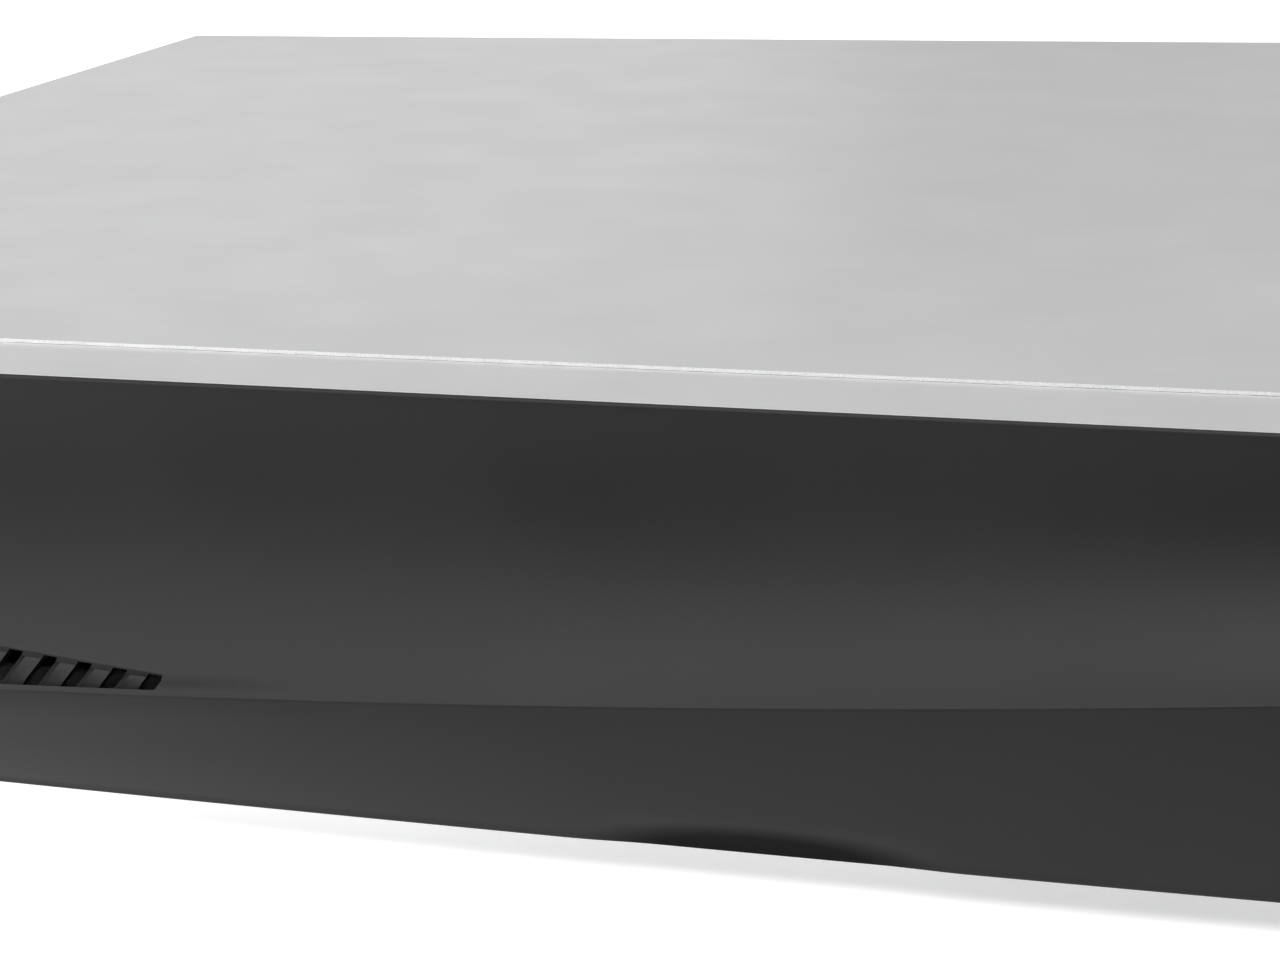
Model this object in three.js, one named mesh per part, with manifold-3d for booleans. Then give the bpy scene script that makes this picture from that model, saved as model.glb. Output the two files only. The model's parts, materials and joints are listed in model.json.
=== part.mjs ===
// Desktop video recorder: a folded steel case with a moulded front fascia, one 3.5 inch drive, a main board
// with its rear connectors, a small case fan and a rear power switch.
// Millimetres, +Z up, +X to the right of someone facing the fascia, +Y to the back.
// Inside this file y = 0 is the front plane of the steel case and z = 0 is the table. The exported group
// moves that origin to the middle of the footprint.
import * as THREE from 'three';
import { mergeVertices } from 'three/addons/utils/BufferGeometryUtils.js';
import Module from 'manifold-3d';

const wasm = await Module();
wasm.setup();

// ---- Driving dimensions -------------------------------------------------------------------------------
const WIDTH = 315; // over the cover's sides
const HEIGHT = 45; // table to the top of the cover
const DEPTH = 242; // fascia's nose to the cover's rear lip
const NOSE_REACH = 9.6; // how far the fascia's crease stands in front of the steel, at the middle
const CHIN_REACH = 5.1; // the same for the fascia's lower edge
const BOW = 3.1; // how much less both reach at the ends of the fascia
const FOOT_HEIGHT = 4;
const SHEET = 1; // steel thickness
const FIT = 0.25; // air between sheet parts
const STEP = 0.35; // the front band lies this much below the cover
const BAND = 11.4; // depth of the band of front frame that the cover leaves bare
const BAND_GAP = 0.15; // between the band and the cover's front edge
const BOARD_HEIGHT = 10; // underside of the main board
const BOARD_THICKNESS = 1.6;

const HALF = WIDTH / 2;
const CASE_DEPTH = DEPTH - NOSE_REACH; // steel only
const PLATE = FOOT_HEIGHT + SHEET; // upper face of the tray's floor
const REAR_LIP = CASE_DEPTH - SHEET; // inner face of the cover's rear lip
const REAR_WALL = REAR_LIP - 0.2; // outer face of the tray's rear wall
const BOARD_TOP = BOARD_HEIGHT + BOARD_THICKNESS;
const VIDEO_JACK_REACH = 14; // longest thing behind the rear wall
const REAR_TIP = REAR_WALL + VIDEO_JACK_REACH;
const MIDDLE = (REAR_TIP - NOSE_REACH) / 2; // middle of the footprint

const SCREW_RADIUS = 1.5;
const SCREW_HOLE = 1.75;

// ---- Materials ----------------------------------------------------------------------------------------
const material = (color, roughness, metalness = 0) =>
  new THREE.MeshStandardMaterial({ color, roughness, metalness });
const coatedSteel = material(0xc9cacb, 0.5, 0.3);
const plainSteel = material(0xb4b7b9, 0.45, 0.7);
const fasciaPlastic = material(0x343536, 0.55);
const blackPlastic = material(0x151617, 0.5);
const whitePlastic = material(0xe6e6e0, 0.5);
const redPlastic = material(0xa02a24, 0.5);
const greenPlastic = material(0x2f8f5a, 0.5);
const bluePlastic = material(0x2a4f9e, 0.5);
const smokedPlastic = material(0x14090c, 0.15);
const clearPlastic = material(0xcfd6d8, 0.2);
const platedMetal = material(0xb9b6ad, 0.3, 0.9);
const castAluminium = material(0xa3a6a8, 0.45, 0.8);
const mirrorDisc = material(0xc8cacc, 0.08, 1);
const circuitGreen = material(0x1d5a3a, 0.5);
const rubber = material(0x1c1c1d, 0.85);
const brightScrew = material(0xc3c4c2, 0.35, 0.9);

// ---- Solids: three.js geometry in and out of manifold-3d -----------------------------------------------
function solid(geometry) {
  const bare = geometry.index ? geometry.toNonIndexed() : geometry.clone();
  for (const name of ['normal', 'uv']) bare.deleteAttribute(name);
  const merged = mergeVertices(bare, 1e-4);
  return new wasm.Manifold(new wasm.Mesh({
    numProp: 3,
    vertProperties: merged.attributes.position.array,
    triVerts: new Uint32Array(merged.index.array),
  }));
}

function geometryOf(manifold) {
  const mesh = manifold.getMesh();
  const geometry = new THREE.BufferGeometry();
  geometry.setAttribute('position', new THREE.BufferAttribute(mesh.vertProperties.slice(), 3));
  geometry.setIndex(new THREE.BufferAttribute(mesh.triVerts.slice(), 1));
  geometry.computeVertexNormals();
  return geometry;
}

const join = (...solids) => solids.reduce((whole, next) => whole.add(next));
const cut = (body, ...tools) => tools.reduce((rest, tool) => rest.subtract(tool), body);

function box([x0, x1], [y0, y1], [z0, z1]) {
  const geometry = new THREE.BoxGeometry(x1 - x0, y1 - y0, z1 - z0);
  return solid(geometry.translate((x0 + x1) / 2, (y0 + y1) / 2, (z0 + z1) / 2));
}

// The three ways a flat outline is extruded: its own two axes become two axes of the part.
const planes = {
  x: [[0, 1, 0], [0, 0, 1], [1, 0, 0]], // outline in (y, z), extruded along x
  y: [[1, 0, 0], [0, 0, 1], [0, -1, 0]], // outline in (x, z), extruded along -y
  z: [[1, 0, 0], [0, 1, 0], [0, 0, 1]], // outline in (x, y), extruded along z
};
const basis = (axis) =>
  new THREE.Matrix4().makeBasis(...planes[axis].map((v) => new THREE.Vector3(...v)));

function prism(axis, outline, [from, to], curveSegments = 2) {
  const shape = Array.isArray(outline) ? new THREE.Shape(outline.map((p) => new THREE.Vector2(...p))) : outline;
  const options = { depth: to - from, bevelEnabled: false, curveSegments };
  const geometry = new THREE.ExtrudeGeometry(shape, options).applyMatrix4(basis(axis));
  const shift = axis === 'y' ? to : from;
  return solid(geometry).translate(axis === 'x' ? shift : 0, axis === 'y' ? shift : 0, axis === 'z' ? shift : 0);
}

// A turned piece: profile of [radius, height] pairs, its axis along x, y or z and its foot at `at`.
const turns = {
  x: new THREE.Matrix4().makeRotationZ(-Math.PI / 2),
  y: new THREE.Matrix4(),
  z: new THREE.Matrix4().makeRotationX(Math.PI / 2),
};
function turned(axis, profile, at, segments = 20) {
  const points = profile.map(([r, h]) => new THREE.Vector2(r, h));
  const geometry = new THREE.LatheGeometry(points, segments).applyMatrix4(turns[axis]);
  return solid(geometry).translate(...at);
}

const rod = (axis, radius, length, at, segments = 16) =>
  turned(axis, [[0, 0], [radius, 0], [radius, length], [0, length]], at, segments);

function roundedRect(x0, x1, y0, y1, r) {
  const shape = new THREE.Shape();
  shape.moveTo(x0 + r, y0);
  shape.lineTo(x1 - r, y0);
  shape.absarc(x1 - r, y0 + r, r, -Math.PI / 2, 0);
  shape.lineTo(x1, y1 - r);
  shape.absarc(x1 - r, y1 - r, r, 0, Math.PI / 2);
  shape.lineTo(x0 + r, y1);
  shape.absarc(x0 + r, y1 - r, r, Math.PI / 2, Math.PI);
  shape.lineTo(x0, y0 + r);
  shape.absarc(x0 + r, y0 + r, r, Math.PI, 1.5 * Math.PI);
  return shape;
}

// Evenly spaced values, both ends included.
const spaced = (from, to, count) =>
  Array.from({ length: count }, (_, i) => from + ((to - from) * i) / (count - 1));

// ---- Assembly -----------------------------------------------------------------------------------------
const recorder = new THREE.Group();

function piece(name, shape, look) {
  const mesh = new THREE.Mesh(geometryOf(shape), look);
  mesh.name = name;
  recorder.add(mesh);
}

// ---- Case: folded steel ---------------------------------------------------------------------------------
// Outline of an upside-down channel with rounded folds, in (x, z).
function channel(half, top, bottom, thickness, radius) {
  const shape = new THREE.Shape();
  const inner = half - thickness;
  const ceiling = top - thickness;
  const innerRadius = Math.max(radius - thickness, 0.1);
  shape.moveTo(half, bottom);
  shape.lineTo(half, top - radius);
  shape.absarc(half - radius, top - radius, radius, 0, Math.PI / 2);
  shape.lineTo(radius - half, top);
  shape.absarc(radius - half, top - radius, radius, Math.PI / 2, Math.PI);
  shape.lineTo(-half, bottom);
  shape.lineTo(-inner, bottom);
  shape.lineTo(-inner, ceiling - innerRadius);
  shape.absarc(innerRadius - inner, ceiling - innerRadius, innerRadius, Math.PI, Math.PI / 2, true);
  shape.lineTo(inner - innerRadius, ceiling);
  shape.absarc(inner - innerRadius, ceiling - innerRadius, innerRadius, Math.PI / 2, 0, true);
  shape.lineTo(inner, bottom);
  return shape;
}

const COVER_RADIUS = 2;
const SIDE_SCREW_Y = [32, 200];
const SIDE_SCREW_Z = 10.6;
const REAR_SCREW_X = 150.4;
const REAR_SCREW_Z = 38;
const FAN = { size: 30, thickness: 10, y: 62, z: 26 };
const FAN_FACE = HALF - 3 * SHEET - 3 * FIT; // outer face of the fan's frame, against its bracket

function sideVents(side) {
  const wall = [side * HALF - 2 * SHEET, side * HALF + 2 * SHEET];
  const slots = (ys, low, high) => ys.map((y) => box(wall, [y - 1, y + 1], [low, high]));
  const long = slots(spaced(100, 186, 18), 17, 35);
  const beside = side < 0
    ? slots(spaced(40, 84, 10), 17, 35)
    : spaced(14, 38, 7).map((z) => {
        const reach = Math.sqrt(14 ** 2 - (z - FAN.z) ** 2);
        return box(wall, [FAN.y - reach, FAN.y + reach], [z - 1, z + 1]);
      });
  return [...long, ...beside];
}

function topCover() {
  const front = BAND + BAND_GAP;
  const shell = prism('y', channel(HALF, HEIGHT, FOOT_HEIGHT + 0.6, SHEET, COVER_RADIUS), [front, CASE_DEPTH], 4);
  const inside = HALF - SHEET / 2;
  const lip = box([-inside, inside], [REAR_LIP, CASE_DEPTH], [40.4, HEIGHT - SHEET / 2]);
  const ears = [-1, 1].map((side) => {
    const xs = [side * inside, side * (REAR_SCREW_X - 4.6)].sort((a, b) => a - b);
    return box(xs, [REAR_LIP, CASE_DEPTH], [REAR_SCREW_Z - 4.6, HEIGHT - SHEET]);
  });
  const sideHoles = SIDE_SCREW_Y.map((y) =>
    rod('x', SCREW_HOLE, WIDTH + 4, [-HALF - 2, y, SIDE_SCREW_Z]));
  const rearHoles = [-REAR_SCREW_X, REAR_SCREW_X].map((x) =>
    rod('y', SCREW_HOLE, 4, [x, REAR_LIP - 1, REAR_SCREW_Z]));
  return cut(join(shell, lip, ...ears), ...sideHoles, ...rearHoles, ...sideVents(-1), ...sideVents(1));
}

const TONGUE = 10; // how far the front frame reaches under the cover
const CLIP_X = [-120, 0, 120];
const CLIP_LEVELS = [[6.2, 7.6], [40.6, 42]]; // low and high rows of the fascia's snap tabs

function frontFrame() {
  const bottom = FOOT_HEIGHT + 0.3;
  const half = HALF - STEP;
  const top = HEIGHT - STEP;
  const drop = SHEET - FIT + STEP - 0.2; // how far the tongue steps in to pass under the cover
  const band = prism('y', channel(half, top, bottom, SHEET, 1.8), [0, BAND]);
  const riser = prism('y', channel(half, top, bottom, SHEET + drop, 1.8), [BAND - SHEET, BAND]);
  const tongue = prism('y', channel(half - drop, top - drop, bottom, SHEET, 1.2), [BAND - SHEET, BAND + TONGUE]);
  const wall = box([SHEET / 2 - half, half - SHEET / 2], [0, SHEET], [bottom, top - SHEET / 2]);
  const ventWindow = box([-147, -44], [-1, 2], [14.5, 27.5]);
  const boardWindow = box([62, 147], [-1, 2], [9, 24]);
  const clipSlots = CLIP_X.flatMap((x) => CLIP_LEVELS.map(([low, high]) =>
    box([x - 4.6, x + 4.6], [-1, 2], [low - 0.4, high + 0.4])));
  return cut(join(band, riser, tongue, wall), ventWindow, boardWindow, ...clipSlots);
}

// ---- Drive: where the tray's bosses have to be ------------------------------------------------------------
const DRIVE = { x: -98, front: 16, width: 101.6, length: 147, bottom: 10, top: 34 };
const DRIVE_SCREWS = [-1, 1].flatMap((side) => [60.4, 104.9].map((y) =>
  [DRIVE.x + (side * 95.25) / 2, DRIVE.front + y]));
const BOARD_SCREWS = [[-84, 176], [-84, 222], [40, 222], [143, 222], [143, 100], [-32, 100]];
const FRONT_BOARD = { x: [66, 146], y: [2.2, 24] };
const FRONT_BOARD_BOTTOM = 8.6;
const FRONT_BOARD_TOP = FRONT_BOARD_BOTTOM + BOARD_THICKNESS;
const FRONT_BOARD_POSTS = [[72, 19], [140, 19]];

const standoff = ([x, y], top) => rod('z', 3, top - PLATE + 0.5, [x, y, PLATE - 0.5], 6);

// ---- Rear connectors: places along the rear wall, as [x, z] -----------------------------------------------
const VIDEO_IN = [[136, 33], [118, 33], [136, 17], [118, 17]];
const VIDEO_OUT = [100, 17];
const AUDIO_IN = [82, 33];
const AUDIO_OUT = [82, 19];
const VGA = [54, 19];
const HDMI = [24, 14.7];
const LAN = [-2, 18.5];
const REAR_USB = [-26, 14.6];
const SERIAL = [-50, 16.8];
const POWER_JACK = [-74, 17.6];
const SWITCH = [-104, 22];
const GROUND = [-134, 18];

const rearHole = (outline) => prism('y', outline, [REAR_WALL - 3, REAR_WALL + 2], 1);
const rearOpening = ([x, z], width, height, r = 0.6) =>
  rearHole(roundedRect(x - width / 2, x + width / 2, z - height / 2, z + height / 2, r));
const rearBore = ([x, z], radius) => rod('y', radius, 5, [x, REAR_WALL - 3, z], radius > 3 ? 16 : 8);

function chassisTray() {
  const half = HALF - SHEET - FIT;
  const behindTongue = BAND + TONGUE + 0.4;
  const narrow = half - SHEET - FIT; // between the cheeks of the front frame
  const floor = join(
    box([-narrow, narrow], [SHEET + 0.3, REAR_WALL], [FOOT_HEIGHT, PLATE]),
    box([-half, half], [behindTongue, REAR_WALL], [FOOT_HEIGHT, PLATE]));
  const rearHem = box([-half, half], [REAR_WALL - 2 * SHEET - FIT, REAR_WALL - SHEET - FIT], [FOOT_HEIGHT, 8]);
  const flanges = [-1, 1].map((side) => {
    const xs = [side * half, side * (half - SHEET)].sort((a, b) => a - b);
    return box(xs, [behindTongue, REAR_WALL - SHEET - FIT], [FOOT_HEIGHT, 14]);
  });
  const standoffs = [
    ...DRIVE_SCREWS.map((at) => standoff(at, DRIVE.bottom - 0.1)),
    ...BOARD_SCREWS.map((at) => standoff(at, BOARD_HEIGHT)),
    ...FRONT_BOARD_POSTS.map((at) => standoff(at, FRONT_BOARD_BOTTOM)),
  ];
  const driveHoles = DRIVE_SCREWS.map(([x, y]) => rod('z', SCREW_HOLE, 8, [x, y, FOOT_HEIGHT - 1], 8));
  const sideHoles = SIDE_SCREW_Y.map((y) => rod('x', SCREW_HOLE, WIDTH, [-HALF, y, SIDE_SCREW_Z]));
  const floorVents = spaced(-10, 110, 13).flatMap((x) =>
    [70, 120].map((y) => box([x - 1.5, x + 1.5], [y - 15, y + 15], [FOOT_HEIGHT - 1, PLATE + 1])));
  const shell = join(floor, ...flanges, rearHem, ...standoffs);
  return cut(shell, ...driveHoles, ...sideHoles, ...floorVents);
}

function rearPanel() {
  const half = HALF - SHEET - FIT;
  const plate = box([-half, half], [REAR_WALL - SHEET, REAR_WALL], [PLATE + 0.1, HEIGHT - SHEET - 0.4]);
  const connectorHoles = [
    ...[...VIDEO_IN, VIDEO_OUT].map((at) => rearBore(at, 6.6)),
    ...[AUDIO_IN, AUDIO_OUT].map((at) => rearBore(at, 5.4)),
    rearOpening(VGA, 18.4, 10.2, 1.2),
    ...[-12.5, 12.5].map((dx) => rearBore([VGA[0] + dx, VGA[1]], 1.8)),
    rearOpening(HDMI, 15.8, 6.6, 0.8),
    rearOpening(LAN, 16.6, 14.2),
    rearOpening(REAR_USB, 14, 7.2),
    rearOpening(SERIAL, 17.6, 11),
    rearBore(POWER_JACK, 4.6),
    rearOpening(SWITCH, 19.6, 13.2, 0.8),
    rearBore(GROUND, SCREW_HOLE),
    ...[-REAR_SCREW_X, REAR_SCREW_X].map((x) => rearBore([x, REAR_SCREW_Z], SCREW_HOLE)),
  ];
  const rearVents = spaced(-60, 40, 11).map((x) =>
    box([x - 1.5, x + 1.5], [REAR_WALL - 3, REAR_WALL + 2], [31, 38]));
  return cut(plate, ...connectorHoles, ...rearVents);
}

// ---- Fascia: one moulding, lofted along x -----------------------------------------------------------------
const FASCIA = {
  half: HALF - 0.2,
  top: HEIGHT - 0.42,
  bottom: FOOT_HEIGHT,
  back: -FIT, // y of its open rear edge
  wall: 2.4,
  topReach: 1.5, // how far its upper edge stands in front of the steel
  sweep: 2.2, // power of the hollow curve from the upper edge to the crease
  lipSweep: 1.35, // the same for the rounded lip below it
};
const bow = (x) => BOW * (x / HALF) ** 2;
const creaseHeight = (x) => {
  const straightFrom = 60;
  const bent = x < straightFrom ? x ** 2 : straightFrom * (2 * x - straightFrom);
  return 19.3 + 0.0688 * x + 0.000216 * bent;
};
const creaseReach = (x) => NOSE_REACH - bow(x);
const chinReach = (x) => CHIN_REACH - bow(x);

// A thumb scoop in the lower edge: 0 outside it, 1 along its flat middle.
const SCOOP = { from: -8, to: 29, ease: 8, height: 4, depth: 0.35 };
function scoopShare(x) {
  const rise = THREE.MathUtils.smoothstep(x, SCOOP.from, SCOOP.from + SCOOP.ease);
  return rise * (1 - THREE.MathUtils.smoothstep(x, SCOOP.to - SCOOP.ease, SCOOP.to));
}

// The moulding's outside at x, from its upper rear edge down to its lower rear edge, as [reach, z].
function fasciaOutside(x) {
  const { top, bottom, topReach, sweep, lipSweep } = FASCIA;
  const crease = creaseHeight(x);
  const nose = creaseReach(x);
  const chin = chinReach(x);
  const hollow = spaced(0, 1, 6).map((t) =>
    [topReach + (nose - topReach) * t ** sweep, top - 0.8 + (crease + 0.3 - top + 0.8) * t]);
  const lip = spaced(0, 1, 4).map((t) => {
    const z = crease - 0.5 + (bottom + 0.8 - crease + 0.5) * t;
    const sunk = THREE.MathUtils.smoothstep(bottom + SCOOP.height - z, 0, SCOOP.height);
    return [nose - 0.3 + (chin - nose + 0.3) * t ** lipSweep - SCOOP.depth * sunk * scoopShare(x), z];
  });
  const chinEdge = lip[lip.length - 1][0] - 0.7;
  return [[-FASCIA.back, top], [topReach - 0.7, top], ...hollow, ...lip, [chinEdge, bottom], [-FASCIA.back, bottom]];
}

// The same curve moved in by the wall thickness, for the hollow behind the face.
function fasciaInside(x) {
  const { top, bottom, wall } = FASCIA;
  const face = fasciaOutside(x).slice(2, -2).map(([reach, z]) => {
    const inZ = THREE.MathUtils.clamp(z, bottom + wall, top - wall);
    return [Math.max(reach - wall, 0.4), inZ];
  });
  return [[-2, top - wall], ...face, [-2, bottom + wall]];
}

// Skin through one closed outline per x station, capped at both ends.
function loft(stations) {
  const count = stations[0].outline.length;
  const corners = stations.flatMap(({ x, outline }) => outline.map(([reach, z]) => [x, -reach, z]));
  const flat = stations[0].outline.map(([reach, z]) => new THREE.Vector2(-reach, z));
  const cap = THREE.ShapeUtils.triangulateShape(flat, []);
  const last = (stations.length - 1) * count;
  const faces = [
    ...cap.map(([a, b, c]) => [c, b, a]),
    ...cap.map(([a, b, c]) => [a + last, b + last, c + last]),
  ];
  for (let s = 0; s < stations.length - 1; s++) {
    for (let i = 0; i < count; i++) {
      const a = s * count + i;
      const b = s * count + ((i + 1) % count);
      faces.push([a, b, b + count], [a, b + count, a + count]);
    }
  }
  const geometry = new THREE.BufferGeometry();
  const positions = faces.flat().flatMap((i) => corners[i]);
  geometry.setAttribute('position', new THREE.Float32BufferAttribute(positions, 3));
  return solid(geometry);
}

const VENT = { tip: -46.6, end: -145, pitch: 4.1, slot: 1.6, slots: 23, lean: 0.72, sink: 0.55 };
const ventFloor = (x) => creaseHeight(x) + 0.62;
const ventRoof = (x) => {
  const run = VENT.tip - x;
  return creaseHeight(VENT.tip) + 1.56 + 0.06 * run + 0.0003 * run * run;
};

function ventOutline() {
  const xs = spaced(VENT.tip - 0.4, VENT.end + 6, 12);
  const roof = xs.map((x) => [x, ventRoof(x)]);
  const floor = [...xs, VENT.end].map((x) => [x, ventFloor(x)]).reverse();
  return [[VENT.tip, (ventRoof(VENT.tip) + ventFloor(VENT.tip)) / 2], ...roof, ...floor];
}

const STATUS_X = [78, 86, 94];
const STATUS_Z = 14.6;
const INFRARED = { x: 107, z: 14.9, width: 9, height: 6.4 };
const FRONT_USB = { x: 129, z: 14.1, width: 13.1, height: 5.7 };

function frontFascia() {
  const xs = spaced(-FASCIA.half, FASCIA.half, 19);
  const outer = loft(xs.map((x) => ({ x, outline: fasciaOutside(x) })));
  const inner = loft(xs.map((x) => ({ x: x * (1 - FASCIA.wall / FASCIA.half), outline: fasciaInside(x) })));
  const ventPrism = prism('y', ventOutline(), [-20, 5]);
  const recess = prism('y', ventOutline(), [-20, -1]).subtract(outer.translate(0, VENT.sink, 0));
  const slots = Array.from({ length: VENT.slots }, (_, i) => {
    const x = VENT.tip - 2.1 - VENT.pitch * i;
    const rise = 16;
    const shift = VENT.lean * rise;
    const low = ventFloor(x) - 0.5;
    return prism('y', [[x, low], [x + VENT.slot, low], [x + VENT.slot + shift, low + rise], [x + shift, low + rise]],
      [-20, 5]);
  });
  const grille = join(...slots).intersect(ventPrism);
  const frontHole = (outline) => prism('y', outline, [-20, 5], 1);
  const usb = FRONT_USB;
  const eye = INFRARED;
  const holes = [
    ...STATUS_X.map((x) => rod('y', 1.7, 25, [x, -20, STATUS_Z])),
    frontHole(roundedRect(eye.x - eye.width / 2, eye.x + eye.width / 2, eye.z - eye.height / 2,
      eye.z + eye.height / 2, 2.6)),
    frontHole(roundedRect(usb.x - 7, usb.x + 7, usb.z - 3.3, usb.z + 3.3, 0.6)),
  ];
  const clips = CLIP_X.flatMap((x) => CLIP_LEVELS.map(([low, high]) =>
    box([x - 4, x + 4], [-1, 4.4], [low, high])));
  const moulding = cut(outer, inner.intersect(box([-HALF, HALF], [-30, 5], [0, HEIGHT])), recess, grille, ...holes);
  return join(moulding, ...clips);
}

piece('chassis_tray', chassisTray(), plainSteel);
piece('rear_panel', rearPanel(), plainSteel);
piece('front_frame', frontFrame(), coatedSteel);
piece('top_cover', topCover(), coatedSteel);
piece('front_fascia', frontFascia(), fasciaPlastic);

// ---- Behind the fascia: indicator lenses, infrared eye, front socket --------------------------------------
function lipReach(x, z) {
  const outline = fasciaOutside(x).slice(8, -2);
  for (let i = 1; i < outline.length; i++) {
    const [[reachA, zA], [reachB, zB]] = [outline[i - 1], outline[i]];
    if (z <= zA && z >= zB) return reachA + ((reachB - reachA) * (z - zA)) / (zB - zA);
  }
  return chinReach(x);
}

function statusLens(x) {
  const tip = lipReach(x, STATUS_Z) + 0.3;
  const length = tip + 6.5;
  return turned('y', [[0, 0], [0.9, 0], [1.5, 0.5], [1.5, length - 2], [2.1, length - 2], [2.1, length], [0, length]],
    [x, -tip, STATUS_Z], 10);
}
['power', 'disk', 'network'].forEach((use, i) =>
  piece(`status_lens_${use}`, statusLens(STATUS_X[i]), clearPlastic));

function infraredWindow() {
  const { x, z, width, height } = INFRARED;
  const face = lipReach(x, z) + 0.2;
  const outline = (w, h, r) => roundedRect(x - w / 2, x + w / 2, z - h / 2, z + h / 2, r);
  return prism('y', outline(width - 0.4, height - 0.4, 2.4), [-face, 2.2 - face]);
}
piece('infrared_window', infraredWindow(), smokedPlastic);

// A receptacle of the flat rectangular kind: shell open at the mouth, tongue fixed in its back wall.
function usbShell([x, z], mouth, length, outward) {
  const { width, height } = FRONT_USB;
  const ys = outward < 0 ? [mouth, mouth + length] : [mouth - length, mouth];
  const hollow = outward < 0 ? [mouth - 1, mouth + length - 0.5] : [mouth - length + 0.5, mouth + 1];
  return cut(
    box([x - width / 2, x + width / 2], ys, [z - height / 2, z + height / 2]),
    box([x - width / 2 + 0.4, x + width / 2 - 0.4], hollow, [z - height / 2 + 0.4, z + height / 2 - 0.4]));
}
function usbTongue([x, z], mouth, length, outward) {
  const back = outward < 0 ? mouth + length - 0.8 : mouth - length + 0.8;
  const tip = mouth - outward * 1.2;
  const ys = [back, tip].sort((a, b) => a - b);
  const root = [back, back + outward * 2].sort((a, b) => a - b);
  return join(
    box([x - 5.4, x + 5.4], ys, [z + 0.1, z + 1.9]),
    box([x - 6, x + 6], root, [z - 2.3, z + 2.3]));
}
const FRONT_USB_MOUTH = 0.4 - lipReach(FRONT_USB.x, FRONT_USB.z);
const frontUsb = [[FRONT_USB.x, FRONT_USB.z], FRONT_USB_MOUTH, 14, -1];
piece('front_usb_shell', usbShell(...frontUsb), platedMetal);
piece('front_usb_tongue', usbTongue(...frontUsb), whitePlastic);

function frontBoard() {
  const { x, y } = FRONT_BOARD;
  const board = box(x, y, [FRONT_BOARD_BOTTOM, FRONT_BOARD_TOP]);
  const lamps = STATUS_X.map((at) =>
    box([at - 1.4, at + 1.4], [7, 10.5], [FRONT_BOARD_TOP - 0.2, STATUS_Z + 1.4]));
  const header = box([96, 116], [17, 21.5], [FRONT_BOARD_TOP - 0.2, FRONT_BOARD_TOP + 5]);
  const eye = join(
    box([INFRARED.x - 3, INFRARED.x + 3], [3.4, 7.4], [FRONT_BOARD_TOP - 0.2, FRONT_BOARD_TOP + 7]),
    rod('y', 2, 2.4, [INFRARED.x, 1.2, INFRARED.z - 0.4], 12));
  return join(board, ...lamps, header, eye);
}
piece('front_board', frontBoard(), circuitGreen);

// A flat cable as a band of constant thickness along a smooth path of [y, z] or [x, y] points.
function band(axis, path, thickness, [from, to], steps) {
  const curve = new THREE.SplineCurve(path.map((p) => new THREE.Vector2(...p)));
  const centre = curve.getSpacedPoints(steps);
  const side = (sign) => centre.map((p, i) => {
    const before = centre[Math.max(i - 1, 0)];
    const after = centre[Math.min(i + 1, steps)];
    const along = after.clone().sub(before).normalize();
    return [p.x - sign * along.y * thickness / 2, p.y + sign * along.x * thickness / 2];
  });
  return prism(axis, [...side(-1), ...side(1).reverse()], [from, to]);
}
const RIBBON_PATH = [[19.2, 15.5], [19.2, 19.5], [23, 23], [45, 22], [70, 20], [92, 22.5], [98.6, 20.5], [99, 17.2]];
piece('front_ribbon_cable', band('x', RIBBON_PATH, 1, [98, 114], 20), whitePlastic);

// ---- Main board and what stands on it ---------------------------------------------------------------------
function mainBoard() {
  const outline = [[-90, 170], [-38, 170], [-38, 94], [149, 94], [149, 228.6], [-90, 228.6]];
  const board = prism('z', outline, [BOARD_HEIGHT, BOARD_TOP]);
  const seat = [BOARD_TOP - 0.2, 0];
  const part = (x, y, height) => box(x, y, [seat[0], BOARD_TOP + height]);
  const capacitor = ([x, y]) => rod('z', 4, 11, [x, y, BOARD_TOP - 0.2], 14);
  const chips = [[30, 128], [30, 148], [96, 128], [96, 148]].map(([x, y]) => part([x, x + 12], [y, y + 9], 1.2));
  return join(board, ...chips,
    ...[[-30, 190], [-30, 202], [-62, 182], [-48, 182]].map(capacitor),
    part([97, 115], [97, 101], 5), // header of the front cable
    part([-30, -14], [106, 112], 8), // socket of the drive's data cable
    part([-4, 8], [106, 112], 8)); // socket of the drive's power cable
}
piece('main_board', mainBoard(), circuitGreen);

const CHIP = { x: 62, y: 150, half: 14 };
const square = ({ x, y }, half) => [[x - half, x + half], [y - half, y + half]];
piece('processor_chip', box(...square(CHIP, CHIP.half), [BOARD_TOP + 0.05, BOARD_TOP + 2.4]), blackPlastic);
const HEAT_SINK_BASE = BOARD_TOP + 2.5;
const fins = spaced(CHIP.x - 16, CHIP.x + 16, 9).map((x) =>
  box([x - 0.6, x + 0.6], [CHIP.y - 17, CHIP.y + 17], [HEAT_SINK_BASE + 1, HEAT_SINK_BASE + 13]));
piece('heat_sink', join(box(...square(CHIP, 17), [HEAT_SINK_BASE, HEAT_SINK_BASE + 2]), ...fins), castAluminium);

const CELL = [112, 176];
piece('coin_cell_holder', cut(
  rod('z', 12, 4.6, [...CELL, BOARD_TOP + 0.05], 24),
  rod('z', 10.3, 6, [...CELL, BOARD_TOP + 1], 24),
  box([CELL[0] - 3, CELL[0] + 3], [CELL[1] + 6, CELL[1] + 14], [BOARD_TOP + 1, BOARD_TOP + 8])), blackPlastic);
piece('coin_cell', rod('z', 10, 3.2, [...CELL, BOARD_TOP + 1.2], 24), platedMetal);

// ---- Hard drive -------------------------------------------------------------------------------------------
const DRIVE_BACK = DRIVE.front + DRIVE.length;
const SPINDLE = [DRIVE.x, DRIVE.front + 50];
const PIVOT = [DRIVE.x + 22, DRIVE.front + 118];
const DRIVE_FLOOR = 18;

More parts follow.
